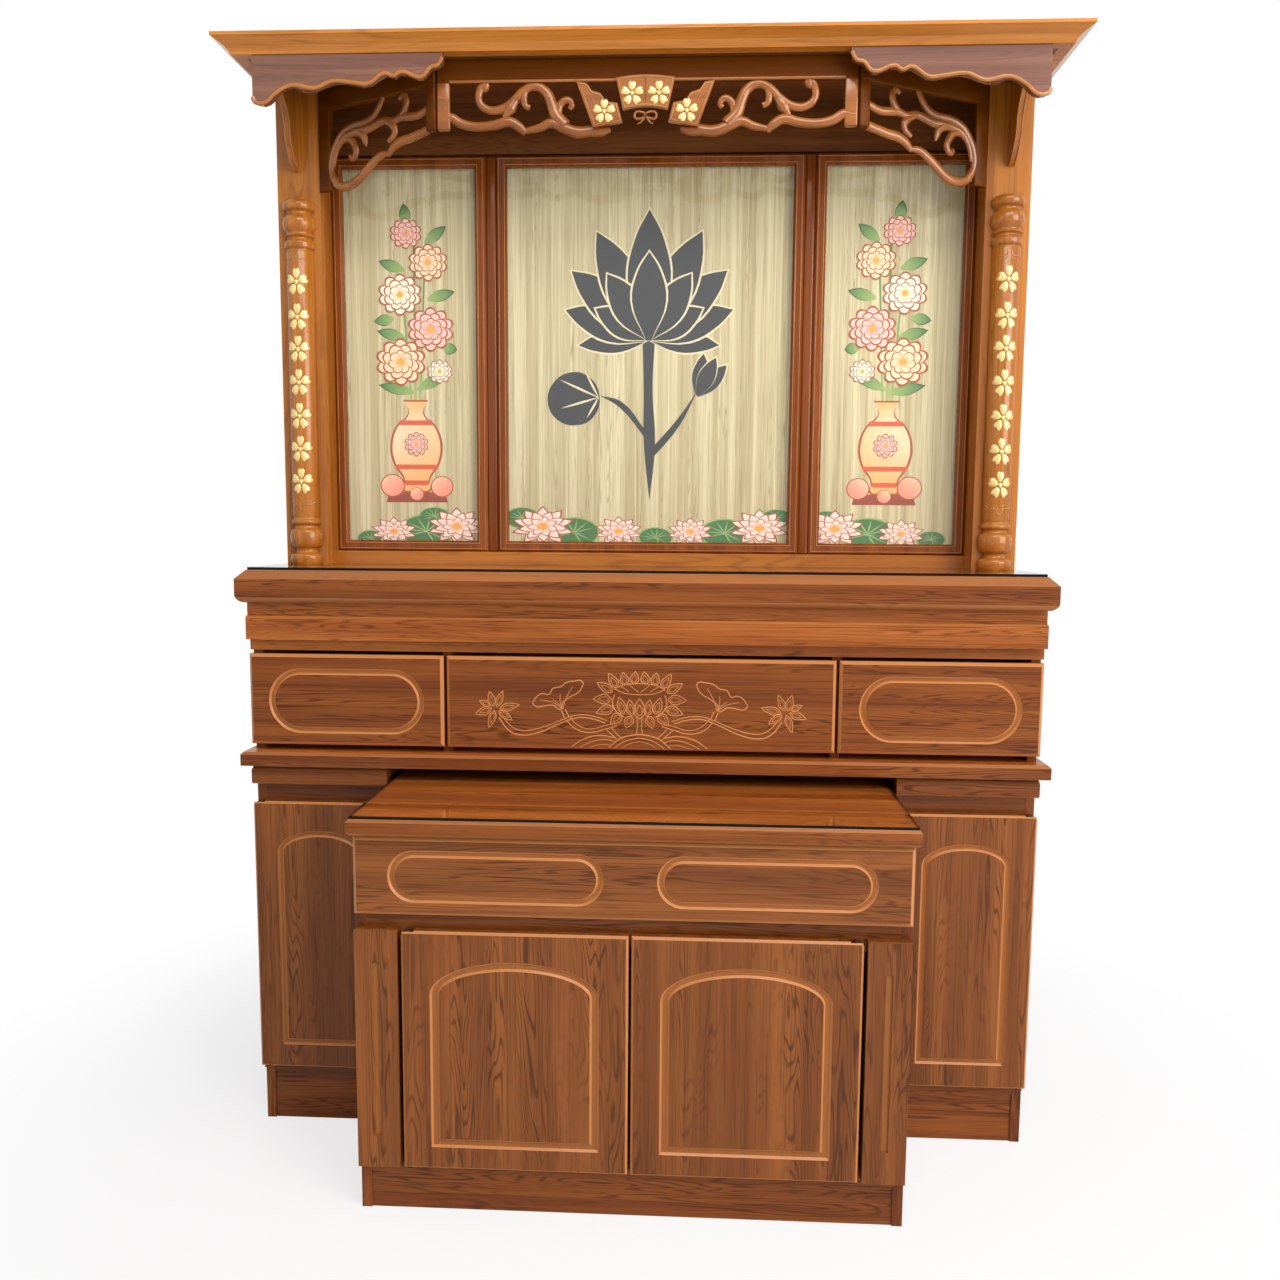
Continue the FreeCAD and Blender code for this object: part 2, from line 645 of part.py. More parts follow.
lower_y = size("lower_setback") - size("pull_out")
lower_thick = size("lower_front_thick")
lower_case_y = lower_y + lower_thick + size("front_gap")
lower_plates = []
for side, sign in (("left", -1), ("right", 1)):
    hinge_x = sign * (size("pilaster_in") - size("door_side_gap"))
    free_x = sign * size("door_mid_gap") / 2
    inner_x = sign * (size("door_mid_gap") / 2 + size("arch_in"))
    outer_x = sign * (size("pilaster_in") - size("door_side_gap") - size("arch_out"))
    outline = (
        min(inner_x, outer_x), max(inner_x, outer_x), size("arch_low"), size("arch_spring"), size("arch_crest"),
    )
    keep(
        door_leaf(
            f"lower_door_{side}", free_x, hinge_x, lower_y, lower_thick,
            size("lower_door_low"), size("lower_door_high"), outline, size("arch_width"),
        ),
        f"lower_door_{side}",
    )
    axis_x = hinge_x - sign * size("pivot_in")
    axis_y = lower_y + lower_thick / 2
    door_low = size("lower_door_low")
    top_plate, low_plate = plate_levels(door_low, size("lower_door_high"))
    lower_plates += [
        pin_plate(f"lower_{side}_top_pivot", axis_x, axis_y, lower_case_y, top_plate, top_plate - pin_long),
        pin_plate(f"lower_{side}_low_pivot", axis_x, axis_y, lower_case_y, low_plate, door_low + pin_long),
    ]
group("lower_pivots", lower_plates)

half = size("lower_front_half")
side, mid = size("lower_oval_side"), size("lower_oval_mid")
foot, head = size("lower_oval_low"), size("lower_oval_high")
low, high = size("lower_drawer_low"), size("lower_drawer_high")
ovals = [(-half + side, -mid, foot, head), (mid, half - side, foot, head)]
drawer_front("lower_drawer_front", -half, half, lower_y, lower_thick, low, high, ovals)
lower_wall = "lower_half - board - runner_gap"
drawer_box(
    "lower_drawer_box",
    (f"-({lower_wall})", lower_wall),
    (lower_face_back, f"{lower_face_back} + lower_box_deep"),
    ("lower_box_low", "lower_box_high"),
)
pair(
    "lower_runners",
    runner(
        "lower_runner", f"{lower_wall} + slip", "lower_half - board",
        (f"{lower_case} + runner_start", f"{lower_face_back} + lower_box_deep"), "lower_runner_low",
    ),
)

# Shrine: posts, walls and the framed pictures at the back of the niche
post_inner = "post_half - post_wide"
post_back = "post_front + post_thick"
frame_back = "frame_plane + frame_thick"
shrine_rise = ("stand", "soffit")
pair("posts", block("post", (post_inner, "post_half"), ("post_front", post_back), shrine_rise))
wall_board = ("post_half - board", "post_half")
pair("shrine_walls", block("shrine_wall", wall_board, (post_back, back_line), shrine_rise))
cheek_board = (post_inner, f"{post_inner} + board")
pair("niche_cheeks", block("niche_cheek", cheek_board, (post_back, frame_back), shrine_rise))
board(
    "niche_back",
    ("board - post_half", "post_half - board"),
    (frame_back, f"{frame_back} + niche_back_thick"),
    shrine_rise,
)
board("rear_panel", ("-post_half", "post_half"), (back_line, "table_depth"), shrine_rise)
board(
    "head_board",
    (f"-({post_inner})", post_inner),
    (f"{frame_back} - head_board_thick", frame_back),
    ("frame_high + head_gap", "soffit"),
)
board("base_rail", (f"-({post_inner})", post_inner), ("rail_front", frame_back), ("stand", "frame_low"))


def frame_solid(name, low, high):
    """A picture frame: bevelled rim, sight opening, and a rebate behind for pane and board."""
    edge, plane, thick = size("frame_edge"), size("frame_plane"), size("frame_thick")
    foot, head = size("frame_low"), size("frame_high")
    rim = Part.makeBox(high - low, thick, head - foot, Vector(low, plane, foot))
    front_rim = [item for item in rim.Edges if same(item.CenterOfMass.y, plane)]
    rim = rim.makeChamfer(size("frame_bevel"), front_rim)
    corner = Vector(low + edge, plane, foot + edge)
    rim = rim.cut(Part.makeBox(high - low - 2 * edge, thick, head - foot - 2 * edge, corner))
    sight_rim = [
        item for item in rim.Edges
        if same(item.CenterOfMass.y, plane)
        and low + edge - 1 < item.CenterOfMass.x < high - edge + 1
        and foot + edge - 1 < item.CenterOfMass.z < head - edge + 1
    ]
    rim = rim.makeChamfer(size("sight_bevel"), sight_rim)
    inset = edge - size("rebate")
    rebate = Part.makeBox(
        high - low - 2 * inset, size("rebate_deep") + 1, head - foot - 2 * inset,
        Vector(low + inset, plane + thick - size("rebate_deep"), foot + inset),
    )
    return shaped(name, rim.cut(rebate).removeSplitter())


inner = size("post_half") - size("post_wide")
centre_half = size("centre_frame_half")
side_start = centre_half + size("frame_gap")
spans = (("left", -inner, -side_start), ("centre", -centre_half, centre_half), ("right", side_start, inner))
frames = {name: frame_solid(f"frame_{name}", low, high) for name, low, high in spans}
keep(frames["centre"], "centre_picture_frame")
group("side_picture_frames", [frames["left"], frames["right"]])
panes, pictures = [], []
for name, low, high in spans:
    inset = size("frame_edge") - size("rebate")
    rear = size("frame_plane") + size("frame_thick") - size("rebate_deep")
    wide, tall = high - low - 2 * inset, size("frame_high") - size("frame_low") - 2 * inset
    corner = Vector(low + inset, rear, size("frame_low") + inset)
    panes.append(shaped(f"pane_{name}", Part.makeBox(wide, size("pane"), tall), corner))
    corner = corner + Vector(0, size("rebate_deep") - size("picture_board"), 0)
    pictures.append(shaped(f"picture_{name}", Part.makeBox(wide, size("picture_board"), tall), corner))
group("picture_panes", panes)
group("picture_boards", pictures)

# Canopy: roof board, flared cornice mitred at the corners, scalloped aprons
cornice_half = size("post_half") - size("cornice_in")
board(
    "canopy_board",
    ("cornice_in - post_half", "post_half - cornice_in"),
    ("cornice_inner", "table_depth"),
    ("soffit", "soffit + roof_thick"),
)


# The cornice's moulding, as shares of its flare and of its height: a cove under a level band
CORNICE_COVE = ((0, 0), (0.07, 0.17), (0.3, 0.4), (0.85, 0.73), (1, 0.8), (1, 1))


def cornice_solid():
    half, inner_y, back = cornice_half, size("cornice_inner"), size("table_depth")
    low, tall = size("soffit"), size("cornice_high")
    start, flare = size("cornice_low_out"), size("cornice_top_out") - size("cornice_low_out")
    section = [(0, 0)] + [(start + flare * out, tall * up) for out, up in CORNICE_COVE] + [(0, tall)]
    corners = ((-half, back), (-half, inner_y), (half, inner_y), (half, back))
    path = Part.Wire(Part.makePolygon([Vector(x, y, low) for x, y in corners]).Edges)
    ring = Part.makePolygon([Vector(-half - out, back, low + up) for out, up in section + section[:1]])
    return path.makePipeShell([Part.Wire(ring.Edges)], True, False, 1)


keep(shaped("cornice", cornice_solid()), "cornice")


# The carver's drawings: points across and down from the soffit, on the sheet the template was drawn on.
# Each is stretched to the sizes of the piece, so the ornament grows with the cabinet.
def stretched(points, drawn, real):
    """Points from a template, stretched from the drawn width and height to the real ones."""
    across, down = real[0] / drawn[0], real[1] / drawn[1]
    return [(x * across, size("soffit") - z * down) for x, z in points]


APRON_DRAWING = (360, 86)
APRON_WAVES = (
    [(0, 75), (5, 84), (23, 85), (44, 68), (75, 54)],
    [(75, 54), (118, 60), (151, 48), (190, 51), (219, 53), (251, 35), (267, 40)],
    [(267, 40), (280, 33), (320, 42), (338, 25), (350, 22), (360, 6)],
)


def apron_solid():
    """A scalloped board: level top, long waves, a cusp and a curl up to its inner end."""
    outer, inner, top = size("apron_half"), size("apron_inner"), size("soffit")
    real = (outer - inner, size("apron_tall"))
    outline = [Vector(inner, 0, top), Vector(outer, 0, top)]
    for wave in APRON_WAVES:
        places = stretched(wave, APRON_DRAWING, real)
        outline += knife_line([(outer - x, z) for x, z in places])[:-1]
    outline.append(Vector(inner, 0, places[-1][1]))
    return Part.Face(Part.makePolygon(outline + outline[:1])).extrude(Vector(0, size("apron_thick"), 0))


apron_back = size("cornice_inner")
pair("canopy_aprons", shaped("canopy_apron", apron_solid(), Vector(0, apron_back - size("apron_thick"), 0)))

# Openwork friezes: a framed band of scrolls across the front, and one slanting back to each post
FRONT_DRAWING = (394, 126)
FRONT_SCROLLS = (
    ([(386, 106), (350, 113), (324, 119), (288, 117), (257, 111), (227, 130)], [16, 16, 10]),
    ([(229, 128), (200, 122), (179, 114), (158, 121), (127, 131), (62, 126)], [10, 17, 18]),
    ([(303, 38), (315, 60), (310, 82), (288, 91), (251, 75), (210, 47), (179, 76), (152, 120)], [13, 14, 16, 20]),
    ([(248, 72), (258, 90), (268, 105)], [15, 18, 7]),
    ([(228, 50), (230, 70), (218, 86)], [10, 11, 9]),
    ([(160, 118), (165, 93), (157, 76), (143, 73), (140, 84)], [14, 13, 8]),
)
SIDE_DRAWING = (302, 198)
SIDE_SCROLLS = (
    ([(14, 120), (41, 125), (65, 129), (91, 132), (122, 152)], [15, 16, 10]),
    ([(120, 149), (161, 159), (202, 187), (246, 193), (280, 186)], [10, 16, 16, 14]),
    ([(132, 38), (145, 59), (182, 80), (213, 82), (261, 113), (273, 165), (258, 190)], [11, 14, 15]),
    ([(16, 83), (46, 90), (89, 86), (131, 85), (170, 93), (220, 96), (258, 121), (268, 153)], [14, 15, 10]),
    ([(248, 104), (226, 104), (208, 120), (210, 141), (220, 139)], [12, 14, 9]),
    ([(208, 93), (186, 102), (179, 125)], [17, 17, 6]),
    ([(90, 87), (76, 66), (77, 50), (90, 52)], [14, 13, 9]),
    ([(128, 87), (107, 100), (120, 128)], [12, 15, 10]),
)


def scrolls(strokes, drawn, real, thick):
    """Ribbons from a template's strokes, each with its widths along the way."""
    grown = real[0] / drawn[0]
    ribbons = []
    for points, widths in strokes:
        ribbons.append(ribbon(stretched(points, drawn, real), [width * grown for width in widths], thick))
    return ribbons


def centre_frieze_solid():
    half, stile, top = size("frieze_half"), size("frieze_stile"), size("soffit")
    rail, thick, foot = size("frieze_rail_low"), size("frieze_thick"), size("frieze_foot")
    real = (half, foot)
    carved = [Part.makeBox(half, thick, top - rail, Vector(0, 0, rail))]
    carved.append(Part.makeBox(stile, thick, rail - top + foot, Vector(half - stile, 0, top - foot)))
    carved += scrolls(FRONT_SCROLLS, FRONT_DRAWING, real, thick)
    right = carved[0].fuse(carved[1:])
    return right.fuse(right.mirror(Vector(0, 0, 0), Vector(1, 0, 0))).removeSplitter()


keep(shaped("centre_frieze", centre_frieze_solid(), Vector(0, size("frieze_front"), 0)), "centre_frieze")


def side_frieze_reach():
    """From the centre frieze's end to the inner face of the post, in plan."""
    across = size("post_half") - size("post_wide") - size("frieze_half") - size("front_gap")
    back = size("post_front") - size("frieze_front") - size("post_gap")
    return across, back


def side_frieze_solid(run):
    """Drawn along X from its front stile at 0 to its end stile at the post."""
    top, rail, thick = size("soffit"), size("frieze_rail_low"), size("frieze_thick")
    tall, front_stile, end_stile = size("side_frieze_tall"), size("side_stile"), size("side_end_stile")
    foot = size("frieze_foot")
    carved = [
        Part.makeBox(run, thick, top - rail, Vector(0, 0, rail)),
        Part.makeBox(front_stile, thick, rail - top + foot, Vector(0, 0, top - foot)),
        Part.makeBox(end_stile, thick, rail - top + tall, Vector(run - end_stile, 0, top - tall)),
    ]
    carved += scrolls(SIDE_SCROLLS, SIDE_DRAWING, (run, tall), thick)
    return carved[0].fuse(carved[1:]).removeSplitter()


across, back = side_frieze_reach()
slant = math.degrees(math.atan2(back, across))
clear_of_front = size("frieze_thick") * math.sin(math.radians(slant))
front_end = Vector(size("frieze_half") + clear_of_front, size("frieze_front"), 0)
pair("side_friezes", shaped("side_frieze", side_frieze_solid(math.hypot(across, back)), front_end, slant))

# An open fan under the front rail: a crown with arched edges and two folded wings
FAN_CROWN = [(-42, 96), (0, 90), (42, 96), (55, 39), (0, 34), (-55, 39)]
FAN_WING = [(43, 118), (98, 127), (129, 45), (110, 48), (101, 61), (84, 66), (75, 80), (52, 84)]


def fan_pieces():
    thick = size("fan_thick")
    real = (size("frieze_half"), size("frieze_foot"))
    foot = [Vector(x, 0, z) for x, z in stretched(FAN_CROWN, FRONT_DRAWING, real)]
    crown = flat_face([
        Part.Arc(*foot[:3]).toShape(), Part.makeLine(foot[2], foot[3]),
        Part.Arc(*foot[3:]).toShape(), Part.makeLine(foot[5], foot[0]),
    ])
    corners = [Vector(x, 0, z) for x, z in stretched(FAN_WING, FRONT_DRAWING, real)]
    wing = Part.Face(Part.makePolygon(corners + corners[:1])).extrude(Vector(0, thick, 0))
    return crown.extrude(Vector(0, thick, 0)), wing, wing.mirror(Vector(0, 0, 0), Vector(1, 0, 0))


fan_place = Vector(0, size("frieze_front") - size("fan_thick"), 0)
fan_names = ("fan_crown", "fan_wing_right", "fan_wing_left")
group("fan_plaques", [shaped(name, piece, fan_place) for name, piece in zip(fan_names, fan_pieces())])

# Half columns turned in one piece: base, vase, plain shaft, vase and cap.
# Each turning is a radius, as a share of the shaft's, and a height from the column's end, drawn for
# a shaft of the radius below.
TURNED_RADIUS = 30
FOOT_TURNINGS = (
    (1.1, 0), (1.1, 18), (0.8, 22), (0.8, 29), (1.0, 33), (1.14, 46), (1.14, 58), (0.9, 72), (1.03, 76), (1.03, 87),
    (1.0, 92),
)
CAP_TURNINGS = (
    (1.04, 0), (1.04, 16), (0.87, 20), (0.87, 26), (1.03, 33), (1.1, 49), (1.03, 63), (0.9, 68), (0.9, 75),
    (1.1, 88), (1.0, 102),
)


def half_column_solid():
    radius, low, high = size("column_radius"), size("stand"), size("column_high")
    grown = radius / TURNED_RADIUS
    foot = [Vector(radius * share, 0, low + up * grown) for share, up in FOOT_TURNINGS]
    cap = [Vector(radius * share, 0, high - down * grown) for share, down in CAP_TURNINGS]
    outline = [Vector(0, 0, low)] + foot + cap[::-1] + [Vector(0, 0, high), Vector(0, 0, low)]
    face = Part.Face(Part.makePolygon(outline))
    return face.revolve(Vector(0, 0, 0), Vector(0, 0, 1), -180)


column_x = size("post_half") - size("post_wide") / 2
pair("half_columns", shaped("half_column", half_column_solid(), Vector(column_x, size("post_front"), 0)))

# Thin corbels between the posts' faces and the soffit, drawn in depth before the post and down
CORBEL_DRAWING = (135, 157)
CORBEL_TAIL = [(3, 157), (24, 143), (38, 122)]
CORBEL_SWEEP = [(38, 122), (46, 108), (50, 78), (66, 50), (100, 22), (135, 0)]


def corbel_solid():
    """A corbel in the YZ plane: a small tail, a notch and a long sweep out to the soffit."""
    reach, tall, top = size("bracket_reach"), size("bracket_tall"), size("soffit")
    post = size("post_front")
    edges = []
    for points in (CORBEL_TAIL, CORBEL_SWEEP):
        curve = Part.BSplineCurve()
        places = stretched(points, CORBEL_DRAWING, (reach, tall))
        curve.interpolate([Vector(0, post - x, z) for x, z in places])
        edges.append(curve.toShape())
    tail = CORBEL_TAIL[0][0] * reach / CORBEL_DRAWING[0]
    corners = ((post - reach, top), (post, top), (post, top - tall), (post - tail, top - tall))
    straight = Part.makePolygon([Vector(0, y, z) for y, z in corners])
    return flat_face(edges + straight.Edges).extrude(Vector(size("bracket_thick"), 0, 0))


corbel_place = Vector(size("bracket_half") - size("bracket_thick") / 2, 0, 0)
pair("corbel_brackets", shaped("corbel_bracket", corbel_solid(), corbel_place))

doc.recompute()
for item in doc.Objects:
    if "Invalid" in item.State or "Error" in item.State:
        raise RuntimeError(f"{item.Name} did not build: {item.State}")
os.makedirs("parts", exist_ok=True)
for piece in pieces:
    shape = piece.Shape
    if shape.isNull() or not shape.isValid() or not shape.Solids:
        raise RuntimeError(f"{piece.Label} has no valid shape")
    shape.exportStep(f"parts/{piece.Label}.step")
    print(piece.Label, len(shape.Solids), round(shape.Volume / 1000), shape.BoundBox)
print(len(pieces), "nodes")
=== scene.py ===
import bpy
import math
from mathutils import Matrix, Vector


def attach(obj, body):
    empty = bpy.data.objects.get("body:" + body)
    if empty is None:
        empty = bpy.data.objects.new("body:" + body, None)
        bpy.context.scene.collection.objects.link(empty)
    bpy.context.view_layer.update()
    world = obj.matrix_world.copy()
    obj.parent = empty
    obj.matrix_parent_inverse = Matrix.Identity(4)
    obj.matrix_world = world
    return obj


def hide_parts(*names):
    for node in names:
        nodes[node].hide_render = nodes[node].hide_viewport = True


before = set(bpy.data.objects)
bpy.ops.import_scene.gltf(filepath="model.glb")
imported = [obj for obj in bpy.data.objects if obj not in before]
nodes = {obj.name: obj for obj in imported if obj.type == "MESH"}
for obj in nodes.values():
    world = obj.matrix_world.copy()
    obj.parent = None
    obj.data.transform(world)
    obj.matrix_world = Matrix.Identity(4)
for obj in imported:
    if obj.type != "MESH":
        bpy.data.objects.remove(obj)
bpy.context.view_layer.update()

MM = 0.001
# Depths are measured from the main slab's front edge, as on the cabinet maker's drawing
EDGE = -95.0
DRAWER_FACE, LOW_FACE = 22, -255
FRIEZE_FACE, FRIEZE_DEEP = 90, 12
BOARD_FACE = 315
COLUMN_X, COLUMN_BACK, COLUMN_RADIUS = 713.25, 230, 28.5
ROUTED_DEPTH = 6.5


def at_depth(depth):
    """Metres along Y of a depth in millimetres on the drawing."""
    return (depth + EDGE) * MM


# Finishes

def finish_of(name):
    material = bpy.data.materials.new(name)
    material.use_nodes = True
    tree = material.node_tree
    return material, tree, tree.nodes["Principled BSDF"]


def finished(piece, finish):
    piece.data.materials.clear()
    piece.data.materials.append(finish)
    return piece


def dial(node, **values):
    """Sets a node's inputs; an underscore stands for the space in an input's name."""
    for name, value in values.items():
        node.inputs[name.replace("_", " ")].default_value = value


def value_math(tree, operation, first, second=None, third=None):
    made = tree.nodes.new("ShaderNodeMath")
    made.operation = operation
    for socket, source in zip(made.inputs, (first, second, third)):
        if isinstance(source, (int, float)):
            socket.default_value = source
        elif source is not None:
            tree.links.new(source, socket)
    return made.outputs[0]


def product(tree, first, second):
    return value_math(tree, "MULTIPLY", first, second)


def mix_shaders(tree, share, first, second):
    made = tree.nodes.new("ShaderNodeMixShader")
    for socket, source in zip(made.inputs, (share, first, second)):
        tree.links.new(source, socket)
    return made.outputs[0]


def show(tree, surface):
    tree.links.new(surface, tree.nodes["Material Output"].inputs["Surface"])


def mix_tones(tree, share, first, second, blend="MIX"):
    made = tree.nodes.new("ShaderNodeMix")
    made.data_type = "RGBA"
    made.blend_type = blend
    for index, source in ((0, share), (6, first), (7, second)):
        socket = made.inputs[index]
        if isinstance(source, (int, float)):
            socket.default_value = source
        elif isinstance(source, tuple):
            socket.default_value = (*source, 1.0)
        else:
            tree.links.new(source, socket)
    return made.outputs[2]


def grey_of(tree, value):
    """One value as a colour, to multiply another colour by."""
    combine = tree.nodes.new("ShaderNodeCombineXYZ")
    for socket in combine.inputs:
        tree.links.new(value, socket)
    return combine.outputs[0]


def stretched_noise(tree, along, fine, long, detail=3.0, shift=(0, 0, 0), distortion=0.0):
    """Noise drawn out along one axis: so many features a metre across it, and along it."""
    place = tree.nodes.new("ShaderNodeTexCoord")
    mapping = tree.nodes.new("ShaderNodeMapping")
    dial(mapping, Location=shift)
    scales = [fine, fine, fine]
    scales["XYZ".index(along)] = long
    dial(mapping, Scale=scales)
    tree.links.new(place.outputs["Object"], mapping.inputs["Vector"])
    noise = tree.nodes.new("ShaderNodeTexNoise")
    dial(noise, Scale=1.0, Detail=detail, Distortion=distortion)
    tree.links.new(mapping.outputs["Vector"], noise.inputs["Vector"])
    return noise.outputs["Fac"]


def smooth_step(tree, source, low, high):
    made = tree.nodes.new("ShaderNodeMapRange")
    made.interpolation_type = "SMOOTHSTEP"
    dial(made, From_Min=low, From_Max=high)
    tree.links.new(source, made.inputs["Value"])
    return made.outputs["Result"]


def split_place(tree, kind):
    place = tree.nodes.new("ShaderNodeTexCoord")
    split = tree.nodes.new("ShaderNodeSeparateXYZ")
    tree.links.new(place.outputs[kind], split.inputs["Vector"])
    return split.outputs


def routed_band(tree, front):
    """1 where the wood is cut back behind its front face at that depth, as in a groove."""
    depth = split_place(tree, "Object")["Y"]
    start = at_depth(front)
    behind = value_math(tree, "GREATER_THAN", depth, start + 0.0003)
    before = value_math(tree, "LESS_THAN", depth, start + ROUTED_DEPTH * MM)
    return product(tree, behind, before)


def bevel_tan_and_highlight_band(tree):
    """1 on faces that lie slanting, such as a moulding's bevels, which take a tan tone and a
    painted highlight.
    """
    normal = split_place(tree, "Normal")
    sizes = [value_math(tree, "ABSOLUTE", normal[axis]) for axis in "XYZ"]
    widest = value_math(tree, "MAXIMUM", value_math(tree, "MAXIMUM", sizes[0], sizes[1]), sizes[2])
    return value_math(tree, "LESS_THAN", widest, 0.95)


# The bevels' tone is partly the routed edge's tan and partly a painted highlight
ROUTED_TONE, BEVEL_TAN_AND_HIGHLIGHT = (0.33, 0.115, 0.026), (0.55, 0.22, 0.075)
# How far apart the five noises of one timber are read
NOISE_STEPS = (0, 3.1, 8.0, 5.4)


def timber(name, pale, deep, vein, along="X", rough=0.3, coat=0.04, gloss=0.2, lines=40.0,
           figure=(16.0, 0.8), shift=(0, 0, 0), vein_share=0.7, routed=None, bevel_tan_and_highlight=0.0,
           painted_top_light=0.0, fine=30):
    """Lacquered veneer: tones, contour-like lines, fibres and pores, drawn out along the grain."""
    material, tree, shader = finish_of(name)
    apart = [(shift[0] + step, shift[1] + 1.7 * step, shift[2] + 2.3 * step)
             for step in NOISE_STEPS]
    streak = stretched_noise(tree, along, fine, 0.8, 4.0, apart[0], 0.3)
    field = stretched_noise(tree, along, *figure, 3.0, apart[1], 0.3)
    patches = stretched_noise(tree, along, 26, 2.2, 3.0, apart[2])
    fibre = stretched_noise(tree, along, 300, 4.0, 3.0, apart[3])
    pores = stretched_noise(tree, along, 700, 14, 2.0, apart[0])
    tone = mix_tones(tree, smooth_step(tree, streak, 0.32, 0.70), deep, pale)
    folded = value_math(tree, "PINGPONG", product(tree, field, lines), 0.5)
    line = smooth_step(tree, value_math(tree, "SUBTRACT", 0.5, folded), 0.26, 0.48)
    broken = smooth_step(tree, patches, 0.40, 0.62)
    strength = value_math(tree, "MULTIPLY_ADD", broken, 0.85 * vein_share, 0.15 * vein_share)
    line = product(tree, line, strength)
    tone = mix_tones(tree, line, tone, vein)
    thread = product(tree, smooth_step(tree, fibre, 0.48, 0.72), 0.6 * vein_share)
    tone = mix_tones(tree, thread, tone, vein)
    pore = product(tree, smooth_step(tree, pores, 0.58, 0.72), 0.4 * vein_share)
    tone = mix_tones(tree, pore, tone, vein)
    if routed is not None:
        cut_back = product(tree, routed_band(tree, routed), 0.7)
        tone = mix_tones(tree, cut_back, tone, ROUTED_TONE)
    # Slanted bevel faces get a paler tone: partly the routed edge's tan, partly painted highlight
    if bevel_tan_and_highlight:
        tone = mix_tones(tree, product(tree, bevel_tan_and_highlight_band(tree), bevel_tan_and_highlight), tone, BEVEL_TAN_AND_HIGHLIGHT)
    # Painted light: faces that lie level and face up are brightened by this factor, standing in for
    # light from above
    if painted_top_light:
        level = value_math(tree, "GREATER_THAN", split_place(tree, "Normal")["Z"], 0.9)
        top_light_factor = value_math(tree, "MULTIPLY_ADD", level, painted_top_light, 1.0)
        tone = mix_tones(tree, 1.0, tone, grey_of(tree, top_light_factor), "MULTIPLY")
    tree.links.new(tone, shader.inputs["Base Color"])
    sunk = value_math(tree, "ADD", product(tree, line, -0.6), product(tree, pore, -0.5))
    bump = tree.nodes.new("ShaderNodeBump")
    dial(bump, Strength=0.12, Distance=0.0005)
    tree.links.new(sunk, bump.inputs["Height"])
    tree.links.new(bump.outputs["Normal"], shader.inputs["Normal"])
    tree.links.new(value_math(tree, "MULTIPLY_ADD", patches, 0.12, rough - 0.06),
                   shader.inputs["Roughness"])
    dial(shader, Specular_IOR_Level=gloss, Coat_Weight=coat, Coat_Roughness=0.14)
    return material


def painted(name, tone, rough=0.4, metallic=0.0, grain=0.1, coat=0.0):
    """A plain finish with a faint speckle, so that it isn't one flat colour."""
    material, tree, shader = finish_of(name)
    speckle = stretched_noise(tree, "X", 180, 140, 3.0)
    shade = value_math(tree, "MULTIPLY_ADD", speckle, grain, 1.0 - grain / 2)
    tree.links.new(mix_tones(tree, 1.0, tone, grey_of(tree, shade), "MULTIPLY"),
                   shader.inputs["Base Color"])
    tree.links.new(value_math(tree, "MULTIPLY_ADD", speckle, 0.1, rough - 0.05),
                   shader.inputs["Roughness"])
    dial(shader, Metallic=metallic, Coat_Weight=coat)
    return material


def printed_ink(name):
    """Printed colours from the piece's own ink attribute, with the board's faint grain in them."""
    material, tree, shader = finish_of(name)
    colours = tree.nodes.new("ShaderNodeAttribute")
    colours.attribute_name = "ink"
    speckle = stretched_noise(tree, "Z", 240, 60, 3.0)
    shade = value_math(tree, "MULTIPLY_ADD", speckle, 0.22, 0.89)
    tone = mix_tones(tree, 1.0, colours.outputs["Color"], grey_of(tree, shade), "MULTIPLY")
    tree.links.new(tone, shader.inputs["Base Color"])
    tree.links.new(value_math(tree, "MULTIPLY_ADD", speckle, 0.1, 0.38), shader.inputs["Roughness"])
    return material


GLASS_INDEX = 1.5


def window_glass(name, tint, rim):
    """A thin clear sheet that mirrors more at a glancing view, with its darker cut edge."""
    material, tree, shader = finish_of(name)
    clear = tree.nodes.new("ShaderNodeBsdfTransparent")
    dial(clear, Color=(*tint, 1.0))
    mirror = tree.nodes.new("ShaderNodeBsdfGlossy")
    dial(mirror, Roughness=0.015, Color=(0.97, 0.98, 0.98, 1.0))
    fresnel = tree.nodes.new("ShaderNodeFresnel")
    dial(fresnel, IOR=GLASS_INDEX)
    geometry = tree.nodes.new("ShaderNodeNewGeometry")
    front = value_math(tree, "SUBTRACT", 1.0, geometry.outputs["Backfacing"])
    share = product(tree, fresnel.outputs[0], front)
    sheet = mix_shaders(tree, share, clear.outputs[0], mirror.outputs[0])
    dial(shader, Base_Color=(*rim, 1.0), Roughness=0.1, Specular_IOR_Level=0.1)
    return material, tree, shader, sheet


def lying_glass(name):
    """Glass on a table top: clear on its level faces, dark at its cut edge."""
    material, tree, shader, sheet = window_glass(name, (0.95, 0.97, 0.96), (0.004, 0.005, 0.005))
    level = value_math(tree, "ABSOLUTE", split_place(tree, "Normal")["Z"])
    lying = value_math(tree, "GREATER_THAN", level, 0.5)
    show(tree, mix_shaders(tree, lying, shader.outputs[0], sheet))
    return material


def standing_glass(name):
    """The pictures' panes, clear all over."""
    material, tree, _, sheet = window_glass(name, (0.98, 0.985, 0.98), (0.2, 0.3, 0.28))
    show(tree, sheet)
    return material


